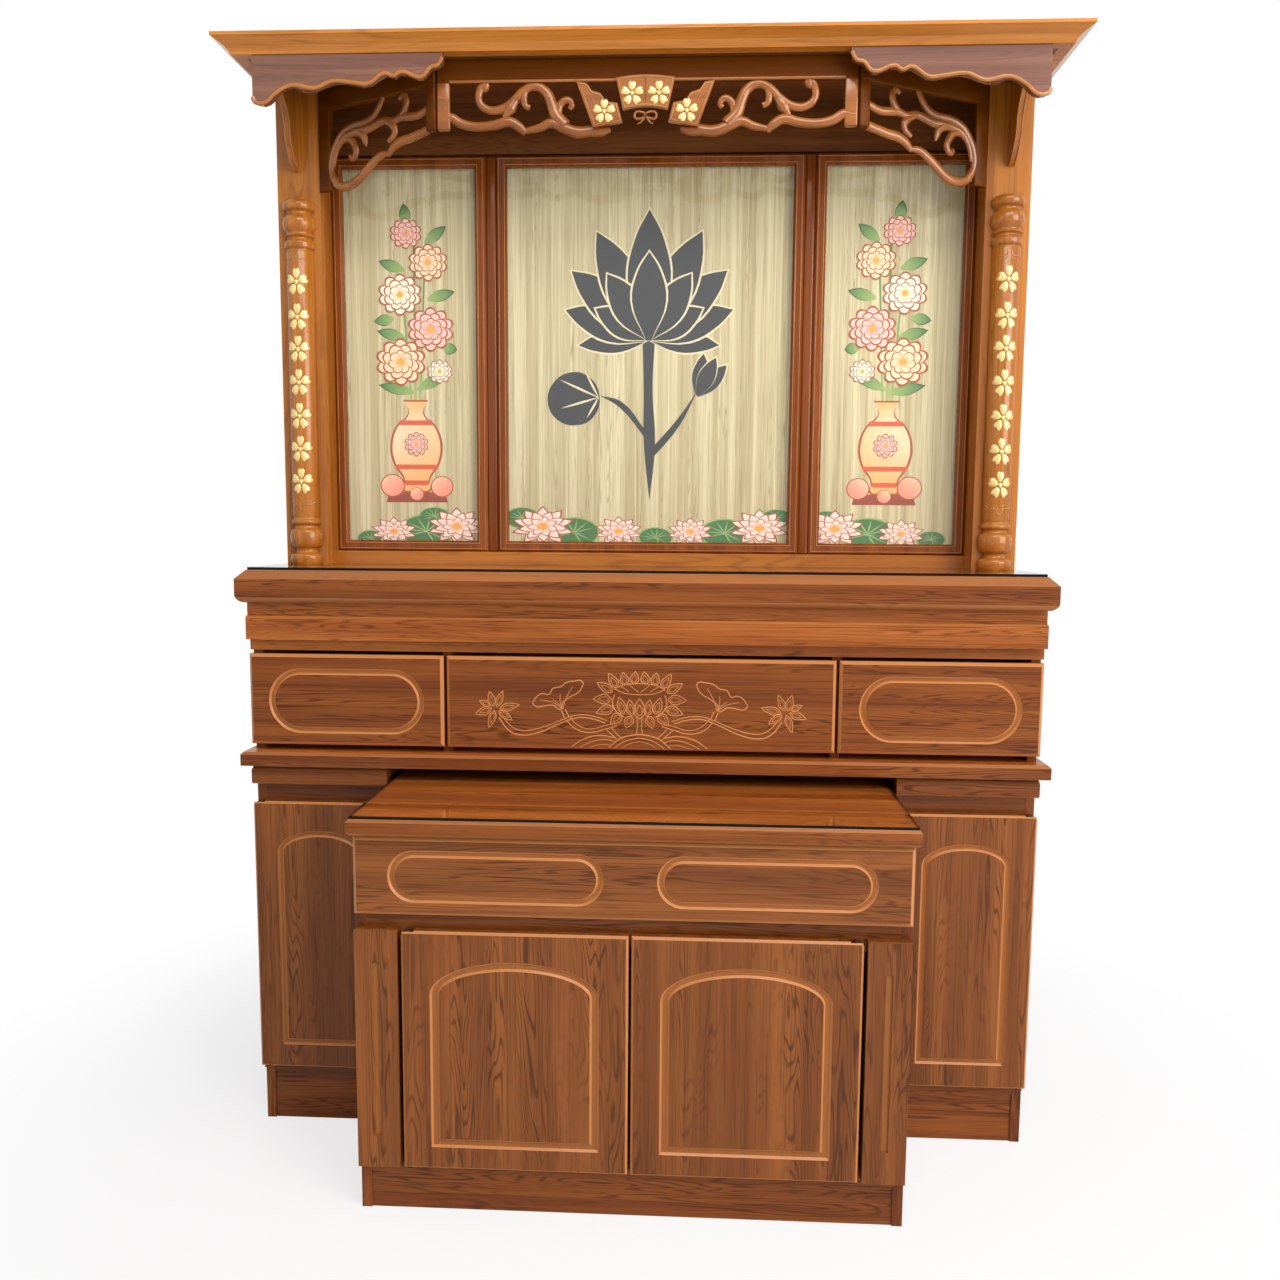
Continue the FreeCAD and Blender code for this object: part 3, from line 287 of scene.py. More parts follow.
WALNUT = dict(pale=(0.255, 0.072, 0.012), deep=(0.150, 0.036, 0.006), vein=(0.038, 0.008, 0.002))
PANEL = dict(pale=(0.265, 0.083, 0.018), deep=(0.16, 0.046, 0.010), vein=(0.044, 0.011, 0.003),
             bevel_tan_and_highlight=0.7)
SHINY = dict(coat=0.2, gloss=0.3, rough=0.22)
LACQUER = dict(pale=(0.46, 0.158, 0.016), deep=(0.30, 0.092, 0.008), vein=(0.14, 0.036, 0.004),
               vein_share=0.4, figure=(9.0, 0.8), lines=24.0, **SHINY)
# Level walnut: its faces that face up are brightened as painted light from above
walnut_level = timber("walnut_level_grain", **WALNUT, bevel_tan_and_highlight=0.35, painted_top_light=1.7)
# Painted light: a brighter copy of the walnut for the fascia, making up for the shade under the
# slab's overhang
lit_walnut_fascia = timber("walnut_fascia_painted_light", (0.47, 0.145, 0.026), (0.28, 0.074, 0.012),
                       (0.08, 0.018, 0.003), shift=(3.7, 0, 1.9), bevel_tan_and_highlight=0.35)
walnut_upright = timber("walnut_upright_grain", **WALNUT, along="Z", bevel_tan_and_highlight=0.4)
walnut_drawers = timber("walnut_drawer_fronts", **WALNUT, routed=DRAWER_FACE, shift=(1.3, 0, 4.2),
                        bevel_tan_and_highlight=0.75)
walnut_doors = timber("walnut_doors", **PANEL, along="Z", routed=DRAWER_FACE, shift=(2.2, 0, 0.3),
                      figure=(11.0, 1.0))
walnut_low_drawer = timber("walnut_low_drawer", **PANEL, routed=LOW_FACE, shift=(4.3, 0, 1.2))
walnut_low_doors = timber("walnut_low_doors", **PANEL, along="Z", routed=LOW_FACE,
                          shift=(0.4, 0, 2.6), figure=(11.0, 1.0))
lacquer_upright = timber("lacquer_upright_grain", **LACQUER, along="Z")
lacquer_level = timber("lacquer_level_grain", **LACQUER)
# The cornice's brighter tone is partly its own lighter lacquer, partly painted light on its slanted
# face
cornice_lacquer_and_painted_light = timber("cornice_lacquer_and_painted_light", (0.60, 0.225, 0.034), (0.42, 0.145, 0.018),
                         (0.22, 0.065, 0.008), vein_share=0.35, figure=(9.0, 0.6), lines=24.0,
                         **SHINY)
# Painted shade: a darker, duller lacquer for the frieze rails, standing in for the shade under the
# canopy
rail_painted_shade_lacquer = timber("frieze_rail_painted_shade", (0.13, 0.035, 0.002), (0.095, 0.023, 0.0015),
                        (0.05, 0.011, 0.001), vein_share=0.3, coat=0.0, gloss=0.06)
carved_lacquer = timber("carved_lacquer", (0.34, 0.112, 0.019), (0.23, 0.067, 0.010),
                        (0.12, 0.034, 0.005), vein_share=0.3, coat=0.4, gloss=0.3, rough=0.2)
# Painted shade: a darker lacquer on the head board, niche back and canopy board, which lie in the
# canopy's shade
canopy_painted_shade_lacquer = timber("niche_painted_shade", (0.19, 0.064, 0.017), (0.11, 0.035, 0.009),
                      (0.04, 0.012, 0.004), vein_share=0.4, coat=0.2)
# The aprons' plum tone is a painted reflection of the light in front, over their lacquer
apron_lacquer_and_reflection = timber("apron_painted_reflection_lacquer", (0.22, 0.088, 0.052), (0.145, 0.053, 0.030),
                       (0.07, 0.022, 0.013), vein_share=0.4, coat=0.5, gloss=0.4, rough=0.22)
frame_lacquer = timber("picture_frame_lacquer", (0.25, 0.064, 0.009), (0.16, 0.036, 0.004),
                       (0.07, 0.014, 0.002), along="Z", vein_share=0.35, coat=0.2, gloss=0.22,
                       rough=0.22)
raw_ply = timber("drawer_ply", (0.60, 0.42, 0.24), (0.50, 0.33, 0.18), (0.33, 0.20, 0.10),
                 vein_share=0.3, coat=0.0, rough=0.55)
picture_paper = timber("picture_board_grain", (0.76, 0.665, 0.425), (0.54, 0.445, 0.25),
                       (0.30, 0.205, 0.095), along="Z", fine=75, lines=70.0,
                       figure=(24.0, 0.45), vein_share=0.62, coat=0.0, rough=0.5)
routed_tan = timber("routed_tan", (0.56, 0.235, 0.082), (0.46, 0.18, 0.056), (0.30, 0.11, 0.032),
                    vein_share=0.2)
golden_bead = timber("golden_bead", (0.44, 0.165, 0.032), (0.34, 0.120, 0.020),
                     (0.22, 0.070, 0.012), vein_share=0.2, coat=0.5, gloss=0.3, rough=0.2)
steel = painted("runner_steel", (0.55, 0.55, 0.55), 0.32, 1.0)
bronze = painted("pivot_bronze", (0.13, 0.070, 0.030), 0.4, 0.6)
gilt = painted("gilt", (0.80, 0.57, 0.22), 0.32, 0.45, 0.14, 0.2)
ink_print = printed_ink("picture_print")
top_glass = lying_glass("top_glass_sheet")
picture_glass = standing_glass("picture_glass_sheet")

FINISHES = {
    lit_walnut_fascia: ("front_fascia",),
    walnut_level: ("top_slab", "waist_board", "pedestal_blocks", "pedestal_rails",
                   "pedestal_plinths", "lower_slab", "lower_shelf", "lower_floor",
                   "lower_plinth", "pedestal_floors"),
    walnut_upright: ("upper_sides", "drawer_dividers", "pedestal_outer_sides",
                     "pedestal_inner_sides", "lower_sides"),
    walnut_drawers: ("drawer_front_left", "drawer_front_centre", "drawer_front_right"),
    walnut_doors: ("pedestal_door_left", "pedestal_door_right"),
    walnut_low_drawer: ("lower_drawer_front",),
    walnut_low_doors: ("lower_door_left", "lower_door_right", "lower_pilasters"),
    lacquer_upright: ("posts", "shrine_walls", "niche_cheeks", "half_columns", "corbel_brackets"),
    lacquer_level: ("base_rail",),
    cornice_lacquer_and_painted_light: ("cornice",),
    canopy_painted_shade_lacquer: ("head_board", "niche_back", "canopy_board"),
    apron_lacquer_and_reflection: ("canopy_aprons",),
    carved_lacquer: ("centre_frieze", "side_friezes", "fan_plaques"),
    frame_lacquer: ("centre_picture_frame", "side_picture_frames"),
    raw_ply: ("back_panel", "rear_panel", "lower_back", "drawer_box_left", "drawer_box_centre",
              "drawer_box_right", "lower_drawer_box"),
    picture_paper: ("picture_boards",),
    picture_glass: ("picture_panes",),
    top_glass: ("top_glass", "lower_glass"),
    steel: ("drawer_runners", "lower_runners"),
    bronze: ("pedestal_pivots", "lower_pivots"),
}
for finish, names in FINISHES.items():
    for name in names:
        finished(nodes[name], finish)


# Ways of making pieces

def drop_selection():
    bpy.ops.object.select_all(action="DESELECT")


def open_mesh():
    bpy.ops.object.mode_set(mode="EDIT")
    bpy.ops.mesh.select_all(action="SELECT")


def close_mesh():
    bpy.ops.object.mode_set(mode="OBJECT")


def shut_mesh(smooth=True):
    """Faces of the active piece outwards, then smooth or flat."""
    open_mesh()
    bpy.ops.mesh.normals_make_consistent(inside=False)
    close_mesh()
    if smooth:
        bpy.ops.object.shade_smooth()


def new_curve(name, dimensions, count_of_points):
    drop_selection()
    bpy.ops.curve.primitive_bezier_curve_add(location=(0, 0, 0))
    stem = bpy.context.object
    stem.name = name
    stem.data.dimensions = dimensions
    stem.data.resolution_u = count_of_points
    stem.data.splines.clear()
    return stem


def add_line(curve, places, closed=False):
    """A line through (x, y, z) places in metres, the fourth value true at a corner."""
    line = curve.data.splines.new("BEZIER")
    line.use_cyclic_u = closed
    line.bezier_points.add(len(places) - 1)
    for point, (*place, corner) in zip(line.bezier_points, places):
        point.co = place
        point.handle_left_type = point.handle_right_type = "VECTOR" if corner else "AUTO"
    return line.bezier_points


def width_at(widths, share):
    slot = share * (len(widths) - 1)
    low = min(int(slot), max(len(widths) - 2, 0))
    high = min(low + 1, len(widths) - 1)
    return widths[low] + (widths[high] - widths[low]) * (slot - low)


def carved_lines(name, strokes, depth, finish, squash=1.0, steps=6, ring=2):
    """Half-sunk rounded stems through (across, up) points, where a third value marks a corner."""
    stems = new_curve(name, "3D", steps)
    stems.data.bevel_depth = 0.5 * MM
    stems.data.bevel_resolution = ring
    stems.data.use_fill_caps = True
    for points, widths in strokes:
        closed = points[0] == points[-1]
        if closed:
            points = points[:-1]
        places = [(place[0] * MM, at_depth(depth), place[1] * MM, len(place) > 2)
                  for place in points]
        for index, point in enumerate(add_line(stems, places, closed)):
            point.radius = width_at(widths, index / (len(points) - 1))
    bpy.ops.object.convert(target="MESH")
    open_mesh()
    if squash != 1.0:
        bpy.ops.transform.resize(value=(1, squash, 1), center_override=(0, at_depth(depth), 0))
    close_mesh()
    shut_mesh()
    return finished(stems, finish)


def cut_out(outlines, depth, thick):
    """Thin flat shapes: closed outlines of (across, up) points, a third value marks a corner."""
    sheet = new_curve("cut_out", "2D", 4)
    sheet.data.fill_mode = "BOTH"
    sheet.data.extrude = thick / 2 * MM
    for outline in outlines:
        places = [(place[0] * MM, place[1] * MM, 0, len(place) > 2) for place in outline]
        add_line(sheet, places, closed=True)
    sheet.rotation_euler = (math.radians(90), 0, 0)
    sheet.location = (0, at_depth(depth), 0)
    bpy.ops.object.convert(target="MESH")
    bpy.ops.object.transform_apply(location=True, rotation=True, scale=True)
    shut_mesh(smooth=False)
    return sheet


def moulded_bar(name, low, high, finish, bevel=2.5):
    """A rail or stile with eased edges between two corners in millimetres."""
    drop_selection()
    middle = [(a + b) / 2 * MM for a, b in zip(low, high)]
    middle[1] += EDGE * MM
    bpy.ops.mesh.primitive_cube_add(size=1, location=middle)
    bar = bpy.context.object
    bar.name = name
    bpy.ops.transform.resize(value=[(b - a) * MM for a, b in zip(low, high)])
    bpy.ops.object.transform_apply(location=True, rotation=True, scale=True)
    open_mesh()
    bpy.ops.mesh.bevel(offset=bevel * MM, segments=3, affect="EDGES")
    close_mesh()
    bpy.ops.object.shade_smooth_by_angle(angle=math.radians(40))
    return finished(bar, finish)


def joined(name, parts):
    drop_selection()
    for part in parts:
        part.select_set(True)
    bpy.context.view_layer.objects.active = parts[0]
    bpy.ops.object.join()
    whole = bpy.context.object
    whole.name = name
    return whole


def copied(piece, name, shift=(0, 0), scale=(1, 1)):
    """A copy with its own mesh, resized across and up, then moved."""
    other = bpy.data.objects.new(name, piece.data.copy())
    bpy.context.collection.objects.link(other)
    resized = Matrix.Diagonal((scale[0], 1, scale[1], 1))
    other.data.transform(Matrix.Translation((shift[0] * MM, 0, shift[1] * MM)) @ resized)
    if scale[0] < 0:
        other.data.flip_normals()
    return other


def away(piece):
    bpy.data.objects.remove(piece, do_unlink=True)


def both_sides(strokes):
    return strokes + [([(-place[0], *place[1:]) for place in points], widths)
                      for points, widths in strokes]


def belongs(piece, body, slot, *replaced):
    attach(piece, body)
    for name in replaced:
        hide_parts(name)


# Canopy friezes: carved scrolls between moulded rails

FRONT_SCROLLS = [
    ([(388, 1976), (370, 1980), (350, 1970), (324, 1964), (288, 1966), (257, 1972), (238, 1962),
      (227, 1951)], (17, 16, 15, 16, 17, 10)),
    ([(229, 1955), (200, 1961), (179, 1969), (158, 1962), (127, 1952), (98, 1955)],
     (9, 15, 16, 19, 18)),
    ([(303, 2044), (314, 2028), (314, 2008), (299, 1995), (277, 1994), (251, 2008), (230, 2028),
      (210, 2036), (190, 2027), (179, 2007), (171, 1985), (152, 1964)],
     (14, 12, 13, 15, 14, 16, 18, 22)),
    ([(303, 2046), (304, 2034), (310, 2028)], (17, 15, 8)),
    ([(246, 2012), (257, 1995), (268, 1979)], (14, 20, 7)),
    ([(226, 2030), (230, 2012), (226, 2000), (218, 1997)], (10, 12, 10, 9)),
    ([(166, 1978), (172, 2000), (176, 2022)], (10, 13, 3)),
    ([(160, 1966), (165, 1990), (158, 2006), (146, 2010), (139, 2000), (144, 1994)],
     (14, 13, 12, 10, 8)),
    ([(104, 1954), (84, 1953), (66, 1957)], (18, 17, 9)),
]
SIDE_SCROLLS = [
    ([(18, 1962), (41, 1958), (65, 1954), (91, 1951), (108, 1944), (122, 1931)],
     (15, 15, 16, 16, 10)),
    ([(120, 1934), (140, 1934), (161, 1924), (183, 1909), (202, 1896), (224, 1889), (246, 1890),
      (265, 1899)], (9, 15, 16, 17, 16, 14)),
    ([(132, 2045), (145, 2024), (161, 2009), (182, 2003), (213, 2001), (241, 1991), (261, 1970),
      (273, 1945), (273, 1918), (258, 1896)], (10, 13, 14, 15, 16, 15)),
    ([(20, 2000), (46, 1993), (72, 1995), (89, 1997), (107, 1993), (131, 1998), (152, 1994),
      (170, 1990), (195, 1989), (220, 1987), (242, 1980), (258, 1962), (268, 1930)],
     (13, 14, 13, 14, 16, 14, 8)),
    ([(246, 1979), (226, 1979), (211, 1966), (206, 1950), (216, 1940), (222, 1946)],
     (12, 14, 13, 9)),
    ([(208, 1990), (188, 1982), (181, 1967), (178, 1957)], (16, 17, 12, 4)),
    ([(90, 1996), (78, 2010), (74, 2027), (81, 2036), (91, 2031)], (14, 13, 12, 8)),
    ([(128, 1996), (109, 1985), (104, 1971), (120, 1956)], (11, 15, 13, 10)),
]
RAIL_LOW, SOFFIT = 2040, 2083
FRONT_STILE, FRONT_REACH = 370, 394
SIDE_STILE, SIDE_REACH, SIDE_FOOT = 272, 302, 1885
STILE_FOOT = 1957
# How far each side frieze runs across and back from the front frieze's end
SIDE_RUN = (269.5, 136)
CARVED_SQUASH = 0.62
SCROLL_DEPTH = FRIEZE_FACE + 6


def stouter(strokes, share=1.18):
    return [(points, tuple(share * width for width in widths)) for points, widths in strokes]


def frieze_bar(x_low, x_high, z_low, z_high, face=0.0, finish=rail_painted_shade_lacquer):
    """A rail or stile of a frieze, its front that far behind the frieze's face."""
    front = FRIEZE_FACE + face
    return moulded_bar("frieze_bar", (x_low, front, z_low),
                       (x_high, FRIEZE_FACE + FRIEZE_DEEP, z_high), finish)


def front_frieze():
    scrolls = carved_lines("front_scrolls", both_sides(stouter(FRONT_SCROLLS)), SCROLL_DEPTH,
                           carved_lacquer, squash=CARVED_SQUASH)
    parts = [scrolls, frieze_bar(-FRONT_REACH, FRONT_REACH, RAIL_LOW, SOFFIT)]
    for side in (-1, 1):
        ends = sorted((side * FRONT_REACH, side * FRONT_STILE))
        parts.append(frieze_bar(*ends, STILE_FOOT, RAIL_LOW + 2, 0.4, carved_lacquer))
    line = [(-FRONT_STILE, RAIL_LOW + 3), (FRONT_STILE, RAIL_LOW + 3)]
    parts.append(carved_lines("rail_bead", [(line, (6.0,))], FRIEZE_FACE, carved_lacquer,
                              squash=0.5))
    return joined("front_frieze_carving", parts)


def side_frieze(side):
    """Carved flat like the front one, then turned back about its inner end."""
    scrolls = carved_lines("side_scrolls", stouter(SIDE_SCROLLS), SCROLL_DEPTH, carved_lacquer,
                           squash=CARVED_SQUASH)
    panel = joined(f"side_frieze_{side}", [
        scrolls,
        frieze_bar(0, SIDE_REACH, RAIL_LOW, SOFFIT),
        frieze_bar(0, 22, STILE_FOOT, RAIL_LOW + 2, 0.4),
        frieze_bar(SIDE_STILE, SIDE_REACH, SIDE_FOOT, RAIL_LOW + 2, 0.4),
    ])
    slant = math.atan2(SIDE_RUN[1], SIDE_RUN[0])
    back_to_corner = Matrix.Translation((0, -at_depth(FRIEZE_FACE), 0))
    turn = Matrix.Rotation(slant, 4, "Z")
    out = Matrix.Translation(((FRONT_REACH + 5.4) * MM, at_depth(FRIEZE_FACE), 0))
    panel.data.transform(out @ turn @ back_to_corner)
    if side == "left":
        panel.data.transform(Matrix.Diagonal((-1, 1, 1, 1)))
        panel.data.flip_normals()
    return panel


belongs(front_frieze(), "cabinet", "lacquer", "centre_frieze")
for side in ("left", "right"):
    belongs(side_frieze(side), "cabinet", "lacquer", "side_friezes")

# Edging on the fan plaques, their folds, and the bow that ties the fan

FAN_CROWN = [(-39, 1990, 1), (0, 1996), (39, 1990, 1), (51, 2042, 1), (0, 2046), (-51, 2042, 1),
             (-39, 1990, 1)]
FAN_WING = [(47, 1968, 1), (95, 1960, 1), (124, 2034, 1), (110, 2031), (100, 2018), (84, 2013),
            (74, 2000), (55, 1996, 1), (47, 1968, 1)]
FAN_FOLDS = [([(0, 1997), (0, 2045)], (1.4,)), ([(19, 1995), (25, 2044)], (1.4,)),
             ([(62, 1968), (80, 2000)], (1.4,)), ([(79, 1965), (106, 2020)], (1.4,))]
FAN_FACE = FRIEZE_FACE - 8
BOW = [
    ([(0, 1978), (9, 1984), (19, 1982), (19, 1973), (9, 1972), (0, 1978)], (4, 5)),
    ([(2, 1975), (8, 1966), (15, 1962)], (5, 4, 2)),
    ([(-3, 1978), (3, 1978)], (8,)),
]


def fan_trim():
    edging = [(FAN_CROWN, (3.2,)), *both_sides([(FAN_WING, (3.2,))])]
    trim = carved_lines("fan_edging", edging, FAN_FACE, golden_bead, squash=0.7, steps=3)
    folds = carved_lines("fan_folds", both_sides(FAN_FOLDS), FAN_FACE, carved_lacquer, squash=0.7,
                         steps=3)
    bow = carved_lines("fan_bow", both_sides(BOW), FAN_FACE + 4, carved_lacquer, squash=0.8,
                       steps=4)
    return joined("fan_trim", [trim, folds, bow])


belongs(fan_trim(), "cabinet", "lacquer")

# Beads along the scalloped aprons and down the corbels

APRON_EDGE = [(735, 2008), (730, 1999), (712, 1998), (691, 2015), (660, 2029), (617, 2023),
              (584, 2035), (545, 2032), (516, 2030), (484, 2048), (468, 2043), (455, 2050),
              (415, 2041), (397, 2058), (385, 2061), (376, 2075)]
APRON_FACE = 58


def apron_beads():
    return carved_lines("apron_beads", both_sides([(APRON_EDGE, (8.0,))]), APRON_FACE, golden_bead,
                        squash=0.5, steps=5)


belongs(apron_beads(), "cabinet", "lacquer")

CORBEL_EDGE = [(3, 157), (24, 143), (38, 122), (46, 108), (50, 78), (66, 50), (100, 22), (132, 2)]
CORBEL_FACES = (-721, -711, 711, 721)


def corbel_beads():
    """Beads on both faces of each corbel, drawn before the post, then turned to face sideways."""
    line = [(before, SOFFIT - down) for before, down in CORBEL_EDGE]
    bead = carved_lines("corbel_bead", [(line, (5.0,))], -EDGE, golden_bead, squash=0.5, steps=5)
    parts = []
    for face in CORBEL_FACES:
        turned = copied(bead, "corbel_bead_copy")
        turn = Matrix.Rotation(math.radians(-90), 4, "Z")
        place = Matrix.Translation((face * MM, at_depth(COLUMN_BACK), 0))
        turned.data.transform(place @ turn)
        parts.append(turned)
    away(bead)
    return joined("corbel_beads", parts)


belongs(corbel_beads(), "cabinet", "lacquer")

# Beads round the picture frames, and the strips that cover the joints between them

FRAME_FACE = 297
SIGHTS = ((-298, 298), (-646.5, -365), (365, 646.5))
SIGHT_FOOT, SIGHT_TOP = 1180, 1954
STRIPS = ((-341.7, -321.3), (321.3, 341.7))
STRIP_FOOT, STRIP_TOP = 1157.5, 1976.5


def ring_of(low, high, beyond):
    """Corners of a rectangle that far outside a picture's opening."""
    left, right, foot, top = low - beyond, high + beyond, SIGHT_FOOT - beyond, SIGHT_TOP + beyond
    return [(left, foot, 1), (right, foot, 1), (right, top, 1), (left, top, 1), (left, foot, 1)]


def frame_beads():
    rings = []
    for low, high in SIGHTS:
        rings.append((ring_of(low, high, 5), (3.0,)))
        rings.append((ring_of(low, high, 17), (2.4,)))
    return carved_lines("frame_beads", rings, FRAME_FACE, golden_bead, squash=0.6, steps=1)


def cover_strips():
    return joined("cover_strips", [
        moulded_bar("cover_strip", (low, FRAME_FACE + 2, STRIP_FOOT),
                    (high, FRAME_FACE + 21, STRIP_TOP), frame_lacquer, 4)
        for low, high in STRIPS])


belongs(frame_beads(), "cabinet", "frame_wood")
belongs(cover_strips(), "cabinet", "frame_wood")

# Half columns: the outline of the turning, spun half round before each post

COLUMN_TURNING = [
    (0, 1131), (31, 1131), (33, 1136), (33, 1150), (24, 1155), (23.5, 1163), (30, 1167),
    (34, 1178), (34.5, 1190), (32, 1201), (26, 1206), (25, 1211), (30.5, 1215), (30.5, 1221),
    (27, 1225), (28.5, 1233), (28.5, 1765), (27, 1769), (30.5, 1773), (31, 1779), (30.5, 1784),
    (26, 1789), (26, 1793), (30.5, 1796), (26.5, 1801), (31, 1809), (33.6, 1820), (31, 1832),
    (25.5, 1839), (25, 1844), (31, 1848), (33, 1854), (32, 1861), (28, 1866), (0, 1866.5),
]
COLUMN_CORNERS = (1131, 1866, 1233, 1765)


def turned_column():
    """The outline to the left of the column's axis, rounded, then spun half round to the front."""
    outline = new_curve("turned_column", "3D", 3)
    back = at_depth(COLUMN_BACK)
    add_line(outline, [(-radius * MM, back, up * MM, radius == 0 or up in COLUMN_CORNERS)
                       for radius, up in COLUMN_TURNING])
    bpy.ops.object.convert(target="MESH")
    open_mesh()
    bpy.ops.mesh.spin(steps=28, angle=-math.pi, center=(0, back, 0), axis=(0, 0, 1))
    bpy.ops.mesh.select_all(action="SELECT")
    bpy.ops.mesh.remove_doubles(threshold=0.02 * MM)
    bpy.ops.mesh.select_all(action="DESELECT")
    bpy.ops.mesh.select_non_manifold(extend=False)
    bpy.ops.mesh.edge_face_add()
    close_mesh()
    shut_mesh()
    bpy.ops.object.shade_smooth_by_angle(angle=math.radians(50))
    return finished(outline, lacquer_upright)


def half_columns():
    column = turned_column()
    right = copied(column, "column_right", (COLUMN_X, 0))
    left = copied(column, "column_left", (-COLUMN_X, 0), (-1, 1))
    away(column)
    return joined("turned_half_columns", [right, left])


def wrapped(piece, middle, radius=COLUMN_RADIUS):
    """Lays a flat ornament on the column's round front, going back as the column does."""
    for vertex in piece.data.vertices:
        across = min(abs(vertex.co.x / MM - middle), radius - 0.5)
        vertex.co.y += (radius - math.sqrt(radius * radius - across * across)) * MM
    return piece


COLUMN_FRONT = COLUMN_BACK - COLUMN_RADIUS
# Each ogee: its heights at its ends, its shoulders and its point, and its width
OGEES = ((1741, 1749, 1763, 2.4), (1735, 1742, 1754, 1.8),
         (1262, 1254, 1241, 2.4), (1268, 1261, 1250, 1.8))


def shaft_ogees():
    parts = []
    for middle in (-COLUMN_X, COLUMN_X):
        strokes = []
        for end, shoulder, point, wide in OGEES:
            heights = (end, shoulder, shoulder, point, shoulder, shoulder, end)
            places = zip((-26, -19, -8, 0, 8, 19, 26), heights)
            strokes.append(([(middle + x, z) for x, z in places], (wide,)))
        lines = carved_lines("shaft_ogee", strokes, COLUMN_FRONT, golden_bead, squash=0.6, steps=4)
        parts.append(wrapped(lines, middle))
    return joined("shaft_ogees", parts)


belongs(half_columns(), "cabinet", "lacquer", "half_columns")
belongs(shaft_ogees(), "cabinet", "lacquer")

# Gilt blossoms down the columns and over the fan

BLOSSOM_HEIGHTS = (1703, 1633, 1569, 1502, 1434, 1367, 1301)
FAN_BLOSSOMS = ((-77, 1984), (-25, 2016), (25, 2016), (77, 1984))
PETAL_WIDE, PETAL_THICK, PETAL_LONG, PETAL_OUT = 6.2, 2.1, 7.6, 11.5


def gilt_blossom():
    """Five notched petals round a button, each petal drawn out of a round bead."""
    drop_selection()
    bpy.ops.mesh.primitive_uv_sphere_add(segments=14, ring_count=8, radius=1, location=(0, 0, 0))
    petal = bpy.context.object
    bpy.ops.transform.resize(value=(PETAL_WIDE * MM, PETAL_THICK * MM, PETAL_LONG * MM))
    bpy.ops.object.transform_apply(location=True, rotation=True, scale=True)
    for vertex in petal.data.vertices:
        rise = vertex.co.z / (PETAL_LONG * MM)
        vertex.co.x *= 1.0 + 0.3 * rise
        if abs(vertex.co.x) < 2 * MM and rise > 0.8:
            vertex.co.z -= 1.6 * MM
        vertex.co.z += PETAL_OUT * MM
    parts = []
    for turn in range(5):
        other = copied(petal, "petal_copy")
        other.data.transform(Matrix.Rotation(math.radians(72 * turn), 4, "Y"))
        parts.append(other)
    button = copied(petal, "button")
    to_middle = Matrix.Translation((0, 0, -PETAL_OUT * MM))
    button.data.transform(Matrix.Diagonal((0.6, 1.3, 0.5, 1)) @ to_middle)
    parts.append(button)
    away(petal)
    blossom = joined("gilt_blossom", parts)
    shut_mesh()
    return finished(blossom, gilt)


def gilt_blossoms():
    blossom = gilt_blossom()
    parts = []
    for middle in (-COLUMN_X, COLUMN_X):
        for height in BLOSSOM_HEIGHTS:
            one = copied(blossom, "column_blossom", (middle, height), (1.2, 1.5))
            one.data.transform(Matrix.Translation((0, at_depth(COLUMN_FRONT), 0)))
            parts.append(wrapped(one, middle))
    for across, height in FAN_BLOSSOMS:
        one = copied(blossom, "fan_blossom", (across, height), (1.15, 1.2))
        one.data.transform(Matrix.Translation((0, at_depth(FAN_FACE), 0)))
        parts.append(one)
    away(blossom)
    return joined("gilt_blossoms", parts)


belongs(gilt_blossoms(), "cabinet", "pivot_bronze")

# Lotus carved on the middle drawer

LOTUS_LINES = [
    ([(-272, 845), (-253, 820), (-231, 811), (-194, 817), (-151, 836), (-118, 847), (-91, 845),
      (-66, 837)], (3.4,)),
    ([(-264, 846), (-245, 826), (-226, 820), (-188, 827), (-145, 844), (-122, 852), (-96, 852),
      (-62, 842)], (2.6,)),
    ([(-141, 842), (-125, 826), (-97, 818), (-70, 824), (-43, 832)], (3.0,)),
    ([(-134, 847), (-120, 833), (-95, 825), (-70, 831), (-46, 838)], (2.4,)),
    ([(-204, 878), (-199, 886), (-187, 893), (-175, 891), (-167, 903), (-151, 907), (-143, 914),
      (-126, 918), (-110, 917), (-112, 904), (-121, 894), (-134, 887), (-150, 872), (-151, 863),
      (-167, 870), (-183, 869), (-199, 867), (-206, 875), (-204, 878)], (3.0,)),
    *[([(-148, 864), *rib], (2.4, 1.6)) for rib in (
        ((-156, 873), (-167, 882)), ((-168, 876), (-191, 881)),
        ((-141, 886), (-129, 907)), ((-153, 878), (-153, 893)))],
    ([(-151, 861), (-144, 845)], (2.6,)),
    ([(-143, 863), (-136, 848)], (2.6,)),
    ([(-66, 826), (-52, 814), (-44, 806)], (2.6,)),
    ([(-54, 828), (-42, 815), (-34, 808)], (2.6,)),
    ([(-5, 849), (-4, 832), (-6, 815)], (2.4,)),
    ([(-131, 790), (-106, 806), (-75, 813), (-48, 809)], (3.0,)),
    ([(-116, 789), (-90, 801), (-64, 805), (-48, 801)], (2.4,)),
    ([(-97, 789), (-76, 795), (-56, 795)], (2.0,)),
    ([(-60, 789), (-34, 809), (0, 816)], (3.2,)),
    ([(-48, 789), (-26, 803), (0, 809)], (2.6,)),
    ([(-34, 789), (-18, 798), (0, 802)], (2.0,)),
    ([(-48, 893), (-52, 880), (-49, 866), (-40, 856), (-30, 850)], (3.0,)),
    ([(-49, 904), (-30, 912), (0, 915)], (2.6,)),
    ([(-49, 904), (-30, 896), (0, 893)], (2.6,)),
    ([(-36, 909), (-20, 899)], (1.8,)),
    ([(-20, 912), (-2, 898)], (1.8,)),
]
